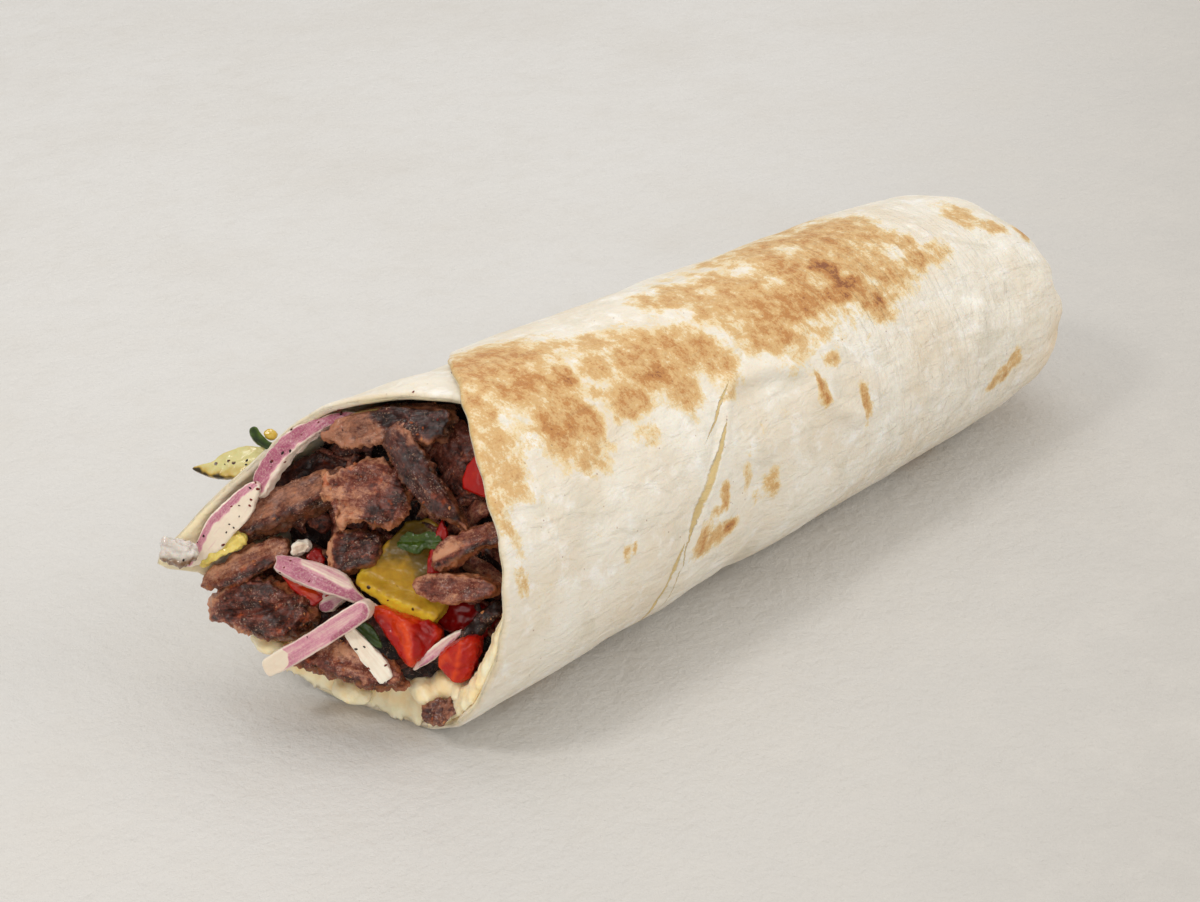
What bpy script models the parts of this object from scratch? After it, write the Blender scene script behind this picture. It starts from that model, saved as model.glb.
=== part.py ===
"""A saj wrap lying on its side: one thin round flatbread rolled about shaved meat, salad and hummus.

The roll lies along X.  Its mouth faces -X, its closed end +X, and it rests on Z = 0.  Everything is modelled
in a roll frame whose X = 0 is the plane where the bread's free edge crosses the top of the roll.  The last
step moves the whole wrap so that the middle of its bounding box's underside is the origin.

Angles about the roll are in degrees: 0 is the near side (-Y), 90 the top, 180 the far side, 270 the
underside.  They run on past 360, because the bread goes round the filling about one and a half times.
"""

import math
from dataclasses import dataclass

import bmesh
import bpy
from mathutils import Matrix, Vector, noise

MM = 0.001

# Driving dimensions
MOUTH_RADIUS = 35.6 * MM
TAIL_RADIUS = 30 * MM
ROLL_LENGTH = 202 * MM
END_DEPTH = 34 * MM
REST_SQUASH = 1.2 * MM
REST_PLANE = 1.0 * MM
BREAD = 1.8 * MM
LAYER_PITCH = 2.1 * MM
GAP = 0.35 * MM
HUMMUS = 2.6 * MM
CORE_RECESS = 7 * MM
NOISE_SEED = 11

# Where the sheet starts and ends, in degrees about the roll
SHEET_START = 60
SHEET_END = 580
MOUTH_TURN = 455
HUMMUS_START = 196
HUMMUS_END = 352

# How far the bread's front edge lies from X = 0 at each angle: the lip that reaches out on the far side,
# the edge along the underside, and the flap that climbs the near side and runs back over the top.
RIM = (
    (60, 7), (77, 0), (91, -7), (112, -12), (132, -13.5), (148, -17.5), (160, -25), (172, -35), (182, -43),
    (192, -34), (206, -29), (236, -24), (262, -18), (290, -15), (325, -18), (360, -15.2), (388, -11.6),
    (415, -6.6), (437, 1.6), (455, 9), (480, 22), (510, 44), (540, 78), (562, 120), (580, 165),
)

# The way out of the mouth, to the near side and up
OUTWARD = Vector((-0.65, -0.60, 0.47))

COLOURS = {
    "bread": ((0.86, 0.78, 0.64), 0.65),
    "hummus": ((0.80, 0.64, 0.36), 0.5),
    "meat": ((0.22, 0.10, 0.06), 0.4),
    "dark_meat": ((0.08, 0.035, 0.03), 0.35),
    "onion": ((0.66, 0.38, 0.52), 0.35),
    "onion_white": ((0.82, 0.78, 0.68), 0.4),
    "tomato": ((0.65, 0.06, 0.02), 0.25),
    "pepper": ((0.66, 0.48, 0.05), 0.3),
    "cucumber": ((0.66, 0.66, 0.36), 0.35),
    "herb": ((0.10, 0.18, 0.03), 0.45),
    "filling": ((0.12, 0.05, 0.035), 0.5),
}


@dataclass(frozen=True)
class Slice:
    """One cut piece of filling.  It runs from tail to tip, and its broad face looks along facing.

    Lengths are in millimetres in the roll frame.  bow lifts the middle of the face, sweep bends the piece
    in the plane of its face, cup lifts the middle line above the edges, taper makes the tip wider than the
    tail, ends is the width of both ends as a share of the middle's, twist turns the tip against the tail in
    degrees, and ragged is how far the outline strays.
    """

    name: str
    food: str
    tail: tuple
    tip: tuple
    width: float
    thick: float
    facing: tuple = tuple(OUTWARD)
    bow: float = 0.0
    sweep: float = 0.0
    cup: float = 0.0
    taper: float = 0.0
    ends: float = 0.6
    twist: float = 0.0
    ragged: float = 0.0
    cells: int = 3


# In order: each piece keeps its shape, and those after it are cut clear of it.
SLICES = (
    Slice("onion_baton", "onion", (-34, 15, 15), (-21, -4, 30), 4.6, 3.2, bow=0.8, sweep=1.0, ends=0.75),
    Slice("onion_strip_white", "onion_white", (-24, 1, 24), (-22, -9, 15), 4.6, 2.2, bow=0.6, ends=0.55),
    Slice("onion_mid", "onion", (-27, 20, 32), (-18, -3, 26), 6.6, 2.8, (-0.55, -0.45, 0.7), 2.0, 1.2,
          cup=0.8, taper=-0.5, twist=20, cells=4),
    Slice("onion_arch", "onion", (-23, 27, 45), (-6, 15, 63), 6.4, 3.4, (-0.8, -0.25, 0.55), 1.5, 3.0,
          taper=-0.2, ends=0.8, cells=4),
    Slice("onion_slab", "onion", (-38, 34, 32), (-24, 27, 49), 9.5, 3.2, (-0.65, -0.6, 0.43), 1.0,
          taper=0.2, ends=0.5),
    Slice("meat_centre", "meat", (-16, 15, 49), (-8, -3, 49), 12.5, 4.2, (-0.55, -0.4, 0.73), 1.5,
          twist=-14, ragged=1.6, cells=4),
    Slice("meat_arm", "dark_meat", (-6, 4, 61), (-5, -17, 45), 7.0, 5.5, (-0.7, -0.4, 0.6), 1.5, -0.8,
          taper=-0.2, ragged=0.9),
    Slice("pepper_yellow", "pepper", (-17, 7, 31), (-7, -13, 33), 13.5, 4.0, (-0.7, -0.45, 0.55), 1.5,
          cup=1.5, ends=0.8, twist=18, ragged=0.4, cells=4),
    Slice("meat_oval", "meat", (-13, -8, 34), (-6, -25, 37), 6.4, 4.6, bow=1.0, taper=0.1, ragged=0.7),
    Slice("meat_curl", "meat", (-10, -11, 40), (-1, -23, 46), 5.6, 4.2, (-0.5, -0.5, 0.7), 1.4,
          taper=0.3, twist=25, ragged=0.8),
    Slice("tomato_wedge", "tomato", (-20, 0, 28), (-15, -14, 20), 9.5, 6.5, (-0.7, -0.6, 0.4), 0.8,
          cup=1.0, ends=0.5, cells=2),
    Slice("tomato_corner", "tomato", (-15, -17, 17), (-10, -23, 24), 7.6, 6.0, (-0.7, -0.65, 0.3), 0.6,
          cup=0.8, ends=0.7, cells=2),
    Slice("meat_tongue", "meat", (-36, 34, 27), (-21, 22, 35), 7.0, 4.4, (-0.55, -0.6, 0.58), 1.2,
          taper=0.2, ragged=0.9),
    Slice("meat_wedge", "dark_meat", (-27, 31, 37), (-9, 14, 48), 8.2, 6.5, (-0.5, -0.35, 0.8), 0.8,
          ends=0.7, ragged=0.7, twist=-10),
    Slice("meat_knuckle", "meat", (-33, 32, 20), (-22, 12, 24), 13.0, 9.0, (-0.6, -0.6, 0.5), 2.0,
          ends=0.7, ragged=1.2, cells=4),
    Slice("meat_ledge", "meat", (-30, 13, 18), (-20, -13, 16), 9.5, 4.2, (-0.6, -0.5, 0.62), 1.0,
          ends=0.5, ragged=0.9, cells=4),
    Slice("meat_block", "meat", (-17, 13, 33), (-9, 2, 37), 9.4, 8.0, (-0.6, -0.5, 0.62), 1.0, ends=0.85,
          ragged=0.7, cells=2),
    Slice("meat_roof", "dark_meat", (-13, 20, 58), (1, -4, 65), 14.0, 4.5, (-0.75, -0.25, 0.35), 1.5,
          ragged=1.0, cells=4),
    Slice("meat_behind_arm", "meat", (4, 2, 60), (5, -16, 46), 12.0, 5.0, (-0.85, -0.3, 0.4), 1.2,
          ragged=1.0, cells=4),
    Slice("meat_left_back", "dark_meat", (-19, 33, 41), (2, 14, 51), 9.0, 4.6, (-0.65, -0.5, 0.55), 1.5,
          ragged=0.8),
    Slice("tomato_flap", "tomato", (-2, -15, 49), (3, -15, 59), 8.0, 3.4, (-0.85, -0.4, 0.35), 0.6, ends=0.5,
          cells=2),
    Slice("tomato_sliver", "tomato", (-10, -10, 36), (-5, -9, 46), 3.4, 2.6, ends=0.5, cells=2),
    Slice("tomato_left", "tomato", (-25, 20, 29), (-20, 10, 24), 6.6, 4.0, ends=0.6, cells=2),
    Slice("tomato_back", "tomato", (-9, -5, 26), (-3, -21, 25), 9.0, 5.0, bow=0.8, ragged=0.5),
    Slice("onion_thin", "onion", (-19, -12, 18), (-12, -18, 26), 2.6, 1.6, bow=0.5, ends=0.5, cells=2),
    Slice("onion_chunk", "onion", (-22, 13, 24), (-17, 7, 28), 5.0, 4.0, ragged=0.6, cells=2),
    Slice("meat_low_dark", "dark_meat", (-22, 19, 19), (-12, -3, 21), 7.0, 5.0, ragged=0.8),
    Slice("meat_char", "dark_meat", (-13, -18, 21), (-5, -24, 33), 4.0, 4.2, (-0.8, -0.3, 0.5), 0.5,
          ragged=0.8, cells=2),
    Slice("meat_nub", "dark_meat", (-19, -16, 9), (-14, -24, 11), 7.0, 5.0, (-0.6, -0.3, 0.75), ragged=0.9,
          cells=2),
    Slice("cucumber_slice", "cucumber", (-26, 45, 47.5), (-14, 29, 52.5), 6.4, 2.6, (-0.45, -0.35, 0.82),
          0.4, sweep=-2.0, ends=0.15, taper=0.5, cells=4),
    Slice("cucumber_rind", "herb", (-19, 35, 56), (-13, 26, 52), 2.6, 1.8, (-0.45, -0.35, 0.82), 0.3,
          sweep=-1.0, ends=0.5, cells=2),
    Slice("pickle_bit", "cucumber", (-15.5, 33.5, 55.5), (-15, 29.5, 53.5), 2.2, 1.6, ends=0.6, cells=2),
    Slice("pickle_strip", "pepper", (-37, 31, 32), (-29, 25, 37), 4.0, 2.4, ends=0.6, cells=2),
    Slice("fat_nub", "onion_white", (-43.8, 34.2, 39), (-39.7, 28.8, 38.6), 5.6, 4.6, ragged=0.6, cells=2),
    Slice("leaf_on_pepper", "herb", (-13, -2, 40), (-9, -11, 41), 4.6, 0.7, (-0.7, -0.4, 0.6), 0.5,
          cup=0.5, ends=0.5, ragged=0.4, cells=2),
    Slice("leaf_low", "herb", (-24, 0, 26), (-20, -8, 22.5), 4.0, 0.7, bow=0.5, cup=0.5, ends=0.4,
          ragged=0.3, cells=2),
)


def smoothstep(low, high, value):
    """0 below low, 1 above high, and an even S between them."""
    share = min(1.0, max(0.0, (value - low) / (high - low)))
    return share * share * (3 - 2 * share)


def through(points, value):
    """A smooth curve through (place, height) points, read at value: monotone cubic pieces."""
    last = len(points) - 1
    value = min(max(value, points[0][0]), points[last][0])
    index = next(i for i in range(last) if value <= points[i + 1][0])

    def slope(i):
        """The curve's slope at point i, level where the points turn back."""
        if i in (0, last):
            return 0.0
        before = (points[i][1] - points[i - 1][1]) / (points[i][0] - points[i - 1][0])
        after = (points[i + 1][1] - points[i][1]) / (points[i + 1][0] - points[i][0])
        return 0.0 if before * after <= 0 else 2 * before * after / (before + after)

    (x0, y0), (x1, y1) = points[index], points[index + 1]
    width = x1 - x0
    t = (value - x0) / width
    return (
        y0 * (2 * t**3 - 3 * t**2 + 1)
        + slope(index) * width * (t**3 - 2 * t**2 + t)
        + y1 * (3 * t**2 - 2 * t**3)
        + slope(index + 1) * width * (t**3 - t**2)
    )


def rim(angle):
    """X of the bread's front edge at this angle."""
    return through(RIM, angle) * MM


def radius_at(x):
    """Outer radius of the roll at X, before the closed end rounds it off: it narrows away from the mouth."""
    return MOUTH_RADIUS + (TAIL_RADIUS - MOUTH_RADIUS) * x / ROLL_LENGTH


def on_roll(angle, station, inset, floor):
    """The point at this angle and station, a depth of inset below the roll's outer skin.

    A station is X as far as the shoulder, and past it the share of the closed end's quarter turn, as
    shoulder + share.  floor is how high the point must stay above the plane that the wrap is pressed flat on.
    """
    shoulder = ROLL_LENGTH - END_DEPTH
    turn = math.radians(angle)
    if station <= shoulder:
        x, radius = station, radius_at(station) - inset
    else:
        bend = math.radians(90) * (station - shoulder) / END_DEPTH
        x = shoulder + (END_DEPTH - inset) * math.sin(bend)
        radius = (radius_at(shoulder) - inset) * math.cos(bend) ** 0.75
    centre = radius_at(min(station, shoulder)) - REST_SQUASH
    z = centre + radius * math.sin(turn)
    return Vector((x, -radius * math.cos(turn), max(z, floor + REST_PLANE)))


def sheet_inset(angle):
    """Depth of the sheet's middle below the roll's outer skin: it winds outwards as the angle grows."""
    return BREAD / 2 + LAYER_PITCH * (MOUTH_TURN - angle) / 360


def collection_named(name):
    """A new collection linked to the scene."""
    made = bpy.data.collections.new(name)
    bpy.context.scene.collection.children.link(made)
    return made


def material_for(food):
    """One Principled material for each food, made the first time it is asked for."""
    found = bpy.data.materials.get(food)
    if found:
        return found
    colour, roughness = COLOURS[food]
    made = bpy.data.materials.new(food)
    made.use_nodes = True
    shader = made.node_tree.nodes["Principled BSDF"]
    shader.inputs["Base Color"].default_value = (*colour, 1)
    shader.inputs["Roughness"].default_value = roughness
    shader.inputs["Metallic"].default_value = 0
    return made


def add_object(name, mesh, food, collection):
    """Links a mesh as an object with its food's material."""
    mesh.materials.clear()
    mesh.materials.append(material_for(food))
    made = bpy.data.objects.new(name, mesh)
    collection.objects.link(made)
    return made


def mesh_from(bm, name):
    """Turns a bmesh into a mesh whose faces point outwards."""
    bmesh.ops.recalc_face_normals(bm, faces=bm.faces)
    if bm.calc_volume(signed=True) < 0:
        bmesh.ops.reverse_faces(bm, faces=bm.faces)
    mesh = bpy.data.meshes.new(name)
    bm.to_mesh(mesh)
    bm.free()
    return mesh


def baked(obj):
    """The object's mesh with its modifiers applied, cut down to its largest joined body."""
    bpy.context.view_layer.update()
    graph = bpy.context.evaluated_depsgraph_get()
    mesh = bpy.data.meshes.new_from_object(obj.evaluated_get(graph))
    bm = bmesh.new()
    bm.from_mesh(mesh)
    bmesh.ops.remove_doubles(bm, verts=bm.verts, dist=0.001 * MM)
    keep_largest_body(bm)
    bm.to_mesh(mesh)
    bm.free()
    return mesh


def keep_largest_body(bm):
    """Deletes all but the body with the most surface."""
    unseen, bodies = set(bm.faces), []
    while unseen:
        todo, body = [unseen.pop()], []
        while todo:
            face = todo.pop()
            body.append(face)
            for edge in face.edges:
                for other in edge.link_faces:
                    if other in unseen:
                        unseen.remove(other)
                        todo.append(other)
        bodies.append(body)
    bodies.sort(key=lambda faces: -sum(face.calc_area() for face in faces))
    spare = [face for body in bodies[1:] for face in body]
    bmesh.ops.delete(bm, geom=spare, context="FACES")


def slab(across, along):
    """A flat unit slab: X and Y from -0.5 to 0.5 and Z from 0 to 1, with a grid of cells on both faces."""
    bm = bmesh.new()
    bmesh.ops.create_grid(bm, x_segments=along, y_segments=across, size=0.5)
    top = bmesh.ops.extrude_face_region(bm, geom=bm.faces[:])["geom"]
    bmesh.ops.translate(bm, vec=(0, 0, 1), verts=[v for v in top if isinstance(v, bmesh.types.BMVert)])
    return bm


def make_bread(name, outside, inside, front_gap, collection):
    """The flatbread: a flat slab rolled up, from outside above the sheet's middle to inside below it."""
    bm = slab(across=52, along=16)
    end = ROLL_LENGTH - 0.6 * MM
    for vert in bm.verts:
        angle = SHEET_START + (SHEET_END - SHEET_START) * (vert.co.y + 0.5)
        front = rim(angle) - front_gap
        station = front + (end - front) * (vert.co.x + 0.5)
        depth = -outside if vert.co.z > 0.5 else inside
        floor = BREAD / 2 + depth
        vert.co = on_roll(angle, station, sheet_inset(angle) + depth, floor)
    return add_object(name, mesh_from(bm, name), "bread", collection)


def make_hummus(collection):
    """The hummus: a layer spread on the inside of the bread, low down, with a thick uneven front edge."""
    bm = slab(across=9, along=7)
    back = ROLL_LENGTH - END_DEPTH - 6 * MM
    for vert in bm.verts:
        angle = HUMMUS_START + (HUMMUS_END - HUMMUS_START) * (vert.co.y + 0.5)
        edge = min(angle - HUMMUS_START, HUMMUS_END - angle) / 30
        front = rim(angle) + 1.5 * MM
        station = front + (back - front) * (vert.co.x + 0.5) ** 1.6
        lumps = 1.4 * noise.noise(Vector((angle / 14, 0, 3)))
        ridge = (2.6 + lumps) * MM * math.exp(-(((station - front) / (9 * MM)) ** 2))
        depth = (HUMMUS + ridge) * min(1.0, 0.35 + edge)
        under = sheet_inset(angle) + BREAD / 2 + GAP
        floor = BREAD + GAP + (depth if vert.co.z > 0.5 else 0)
        vert.co = on_roll(angle, station, under + (depth if vert.co.z > 0.5 else 0), floor)
    return add_object("hummus", mesh_from(bm, "hummus"), "hummus", collection)


def mouth_plane(y, z):
    """X of the slanting surface that the filling shows at the mouth."""
    return -20 * MM - 0.357 * y + 0.4 * (z - 15 * MM)


def make_core(collection):
    """The packed filling behind the pieces at the mouth, running through the roll to its closed end."""
    bm = bmesh.new()
    rings, sides = 7, 22
    bmesh.ops.create_cone(
        bm, cap_ends=True, cap_tris=False, segments=sides, radius1=1, radius2=1, depth=1
    )
    upright = [edge for edge in bm.edges if abs(edge.verts[0].co.z - edge.verts[1].co.z) > 0.5]
    bmesh.ops.subdivide_edges(bm, edges=upright, cuts=rings)
    caps = [face for face in bm.faces if len(face.verts) == sides]
    bmesh.ops.poke(bm, faces=caps)
    inside = BREAD + LAYER_PITCH * (MOUTH_TURN - SHEET_START) / 360 + 2 * GAP
    back = ROLL_LENGTH - 12 * MM
    for vert in bm.verts:
        angle = math.degrees(math.atan2(vert.co.y, -vert.co.x)) % 360
        share = vert.co.z + 0.5
        middle = math.hypot(vert.co.x, vert.co.y) < 0.5
        over_hummus = smoothstep(HUMMUS_START - 40, HUMMUS_START, angle) * (
            1 - smoothstep(HUMMUS_END - 12, HUMMUS_END + 8, angle)
        )
        depth = inside + over_hummus * (HUMMUS + GAP)
        station = share * back
        point = on_roll(angle, station, depth, BREAD + 2 * GAP + over_hummus * HUMMUS)
        if middle:
            point.y, point.z = 0, radius_at(station) - REST_SQUASH
        front = mouth_plane(point.y, point.z) + CORE_RECESS
        point.x = front + (point.x - 0) * (back - front) / back
        vert.co = point
    return add_object("filling_core", mesh_from(bm, "filling_core"), "filling", collection)


def make_slice(spec, collection):
    """One cut piece of filling, from a slab bent, tapered, twisted and torn as its spec says."""
    tail, tip = Vector(spec.tail) * MM, Vector(spec.tip) * MM
    length = (tip - tail).length
    along = (tip - tail).normalized()
    face = Vector(spec.facing)
    face = (face - along * face.dot(along)).normalized()
    across = face.cross(along)
    bm = slab(across=2, along=spec.cells)
    seed = Vector((sum(map(ord, spec.name)) % 97, 0, 0))
    for vert in bm.verts:
        a, b, c = vert.co
        hump = 1 - 4 * a * a
        width = spec.width * MM * (1 + 2 * spec.taper * a) * (spec.ends + (1 - spec.ends) * hump**0.5)
        side = b * width
        rise = (c - 0.5) * spec.thick * MM * (0.75 + 0.25 * hump)
        rise += spec.bow * MM * hump + spec.cup * MM * (1 - 4 * b * b)
        turn = math.radians(spec.twist) * a
        side, rise = (
            side * math.cos(turn) - rise * math.sin(turn),
            side * math.sin(turn) + rise * math.cos(turn),
        )
        side += spec.sweep * MM * hump
        stray = noise.noise_vector(Vector((a, b, 0)) * 3 + seed) * spec.ragged * MM
        vert.co = (
            (tail + tip) / 2
            + along * (a * length + stray.x)
            + across * (side + stray.y)
            + face * (rise + 0.4 * stray.z)
        )
    piece = add_object(spec.name, mesh_from(bm, spec.name), spec.food, collection)
    rounding = piece.modifiers.new("rounding", "SUBSURF")
    rounding.levels = rounding.render_levels = 1
    mesh = baked(piece)
    piece.modifiers.clear()
    piece.data = mesh
    return piece


def cutter_of(obj, cutters):
    """A copy of the object, larger by the gap on every side, that cuts its neighbours."""
    bm = bmesh.new()
    bm.from_mesh(obj.data)
    bm.normal_update()
    grown = [(vert, vert.co + vert.normal * GAP) for vert in bm.verts]
    for vert, place in grown:
        vert.co = place
    mesh = bpy.data.meshes.new(obj.name + "_cutter")
    bm.to_mesh(mesh)
    bm.free()
    made = bpy.data.objects.new(obj.name + "_cutter", mesh)
    made.hide_render = True
    made.display_type = "WIRE"
    cutters.objects.link(made)
    return made


def box_of(obj):
    """Lowest and highest corner of a mesh object that lies at the origin."""
    places = [vert.co for vert in obj.data.vertices]
    low = Vector(map(min, zip(*places)))
    high = Vector(map(max, zip(*places)))
    return low, high


def near(one, other):
    """Whether two objects' boxes meet."""
    (low, high), (low2, high2) = box_of(one), box_of(other)
    return all(low[i] < high2[i] and low2[i] < high[i] for i in range(3))


def cut_clear(obj, cutters):
    """Cuts the object clear of every cutter that it meets."""
    for cutter in cutters:
        if near(obj, cutter):
            cut = obj.modifiers.new("clear_of_" + cutter.name, "BOOLEAN")
            cut.operation = "DIFFERENCE"
            cut.solver = "MANIFOLD"  # EXACT turns a piece inside out where three cutters cross
            cut.object = cutter
    if obj.modifiers:
        mesh = baked(obj)
        obj.modifiers.clear()
        obj.data = mesh


def stand_on_origin(objects):
    """Moves the wrap so that the middle of its bounding box's underside is the origin."""
    boxes = [box_of(obj) for obj in objects]
    low = Vector(map(min, zip(*(box[0] for box in boxes))))
    high = Vector(map(max, zip(*(box[1] for box in boxes))))
    shift = Matrix.Translation((-(low.x + high.x) / 2, -(low.y + high.y) / 2, -low.z))
    for obj in objects:
        obj.data.transform(shift)
    print("moved by", [round(c / MM, 2) for c in shift.translation], "mm")


def main():
    """Builds the wrap: the bread, the pieces at the mouth, the hummus and the packed filling."""
    for obj in list(bpy.data.objects):
        bpy.data.objects.remove(obj)
    noise.seed_set(NOISE_SEED)
    wrap = collection_named("saj_wrap")
    cutters = collection_named("cutters")

    bread = make_bread("flatbread", BREAD / 2, BREAD / 2, 0, wrap)
    bread_room = make_bread("flatbread_room", BREAD / 2 + 0.1 * MM, BREAD / 2 + GAP, GAP, cutters)
    bread_room.hide_render = True
    bread_room.display_type = "WIRE"

    rooms = [bread_room]
    pieces = []
    for spec in SLICES:
        piece = make_slice(spec, wrap)
        cut_clear(piece, rooms)
        rooms.append(cutter_of(piece, cutters))
        pieces.append(piece)

    hummus = make_hummus(wrap)
    cut_clear(hummus, rooms)
    rooms.append(cutter_of(hummus, cutters))
    core = make_core(wrap)
    cut_clear(core, rooms)

    parts = [bread, hummus, core, *pieces]
    for obj in parts:
        obj.data.shade_smooth()
        obj.data.set_sharp_from_angle(angle=math.radians(40))
    stand_on_origin(parts)


main()
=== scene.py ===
"""The looks of a saj wrap: a thin flatbread rolled about shaved meat, red onion, tomato, pepper and hummus.

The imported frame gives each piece's place. This script dresses it: the bread becomes a finely modelled rolled
sheet with creases and toasted patches, each cut piece of filling gets its torn, fibrous or glassy surface,
and small shreds, crumbs and flecks of spice fill the gaps. Lengths in the classes are in millimetres, unless
they say otherwise.
"""

from __future__ import annotations

import logging
import math
import random
import sys
from dataclasses import dataclass, field
from enum import Enum
from typing import Callable, Iterable, Sequence

import bmesh
import bpy
import numpy as np
from bmesh.types import BMesh, BMVert
from bpy.types import ID, Material, Mesh, NodeSocket, Object, bpy_prop_collection
from mathutils import Matrix, Vector
from mathutils.noise import noise


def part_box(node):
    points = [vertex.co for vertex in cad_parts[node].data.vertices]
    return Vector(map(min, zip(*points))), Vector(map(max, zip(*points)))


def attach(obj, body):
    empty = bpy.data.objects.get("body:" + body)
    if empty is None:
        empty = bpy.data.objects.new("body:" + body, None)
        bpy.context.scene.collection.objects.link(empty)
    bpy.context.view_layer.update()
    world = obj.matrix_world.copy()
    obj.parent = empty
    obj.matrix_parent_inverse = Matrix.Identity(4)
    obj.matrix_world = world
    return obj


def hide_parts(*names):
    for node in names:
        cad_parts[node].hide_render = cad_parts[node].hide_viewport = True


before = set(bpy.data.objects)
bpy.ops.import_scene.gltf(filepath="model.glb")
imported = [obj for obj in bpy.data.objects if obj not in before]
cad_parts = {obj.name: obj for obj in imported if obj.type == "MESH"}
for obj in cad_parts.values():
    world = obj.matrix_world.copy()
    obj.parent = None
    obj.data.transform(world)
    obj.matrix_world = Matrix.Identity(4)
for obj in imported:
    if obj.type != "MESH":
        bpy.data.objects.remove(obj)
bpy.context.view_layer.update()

MM = 0.001
BODY = "root"
TOWARDS_MOUTH = (-0.65, -0.6, 0.47)  # the way that most of the filling's faces look
WELL_INSIDE = 5.0  # millimetres from any edge, for pieces with no cut edges
TORN_RIM = 1.6  # millimetres in from a piece's outline that its tears reach
SHEET_RADIUS = 35.0  # turns degrees round the roll into millimetres along the sheet
LOG = logging.getLogger("saj_wrap")

Pair = tuple[float, float]
Triple = tuple[float, float, float]
Colour = Triple  # as on a screen, from 0 to 255
Line = tuple[Pair, ...]


class Food(Enum):
    """What a cut piece of filling is; the value is its material slot in the record."""

    MEAT = "meat"
    DARK_MEAT = "meat_dark"
    ONION = "onion"
    WHITE_ONION = "onion_white"
    TOMATO = "tomato"
    PEPPER = "pepper"
    PICKLE = "pickle"
    CUCUMBER = "cucumber"
    HERB = "herb"
    FAT = "fat"


def linear(colour: Triple) -> Triple:
    """Turns a screen colour into the linear one that a shader takes.

    Args:
        colour: Red, green and blue from 0 to 255.

    Returns:
        The linear colour, each channel from 0 to 1.
    """
    shares = [channel / 255 for channel in colour]
    red, green, blue = (s / 12.92 if s <= 0.04045 else ((s + 0.055) / 1.055) ** 2.4 for s in shares)
    return red, green, blue


def smoothstep(low: float, high: float, value: float) -> float:
    """0 below low, 1 above high, and an even S between them."""
    share = min(1.0, max(0.0, (value - low) / (high - low)))
    return share * share * (3 - 2 * share)


def through(points: Sequence[Pair], value: float) -> float:
    """Reads a smooth curve through points.

    Args:
        points: (place, height) pairs, with the places rising.
        value: The place to read.

    Returns:
        The height there, from monotone cubic pieces.
    """
    last = len(points) - 1
    value = min(max(value, points[0][0]), points[last][0])
    index = next(i for i in range(last) if value <= points[i + 1][0])

    def slope(i: int) -> float:
        """The curve's slope at point i, level where the points turn back.

        Args:
            i: The point's number.

        Returns:
            The slope.
        """
        if i in (0, last):
            return 0.0
        before = (points[i][1] - points[i - 1][1]) / (points[i][0] - points[i - 1][0])
        after = (points[i + 1][1] - points[i][1]) / (points[i + 1][0] - points[i][0])
        return 0.0 if before * after <= 0 else 2 * before * after / (before + after)

    (x0, y0), (x1, y1) = points[index], points[index + 1]
    width = x1 - x0
    t = (value - x0) / width
    return (
        y0 * (2 * t**3 - 3 * t**2 + 1)
        + slope(index) * width * (t**3 - 2 * t**2 + t)
        + y1 * (3 * t**2 - 2 * t**3)
        + slope(index + 1) * width * (t**3 - t**2)
    )


def distance_to_line(places: np.ndarray, line: Sequence[Pair]) -> np.ndarray:
    """Signed distance from each place to a line of straight stretches.

    Args:
        places: An array of (x, y) rows.
        line: The line's points in order.

    Returns:
        One distance for each place, positive on the line's left.
    """
    nearest = np.full(len(places), 1e9)
    signed = np.full(len(places), 1e9)
    for start, end in zip(line, line[1:]):
        a, b = np.array(start, float), np.array(end, float)
        run = b - a
        share = np.clip(((places - a) @ run) / (run @ run), 0, 1)
        gap = places - (a + share[:, None] * run)
        length = np.hypot(gap[:, 0], gap[:, 1])
        side = np.sign(run[0] * gap[:, 1] - run[1] * gap[:, 0])
        closer = length < nearest
        nearest = np.where(closer, length, nearest)
        signed = np.where(closer, length * np.where(side == 0, 1, side), signed)
    return signed


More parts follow.
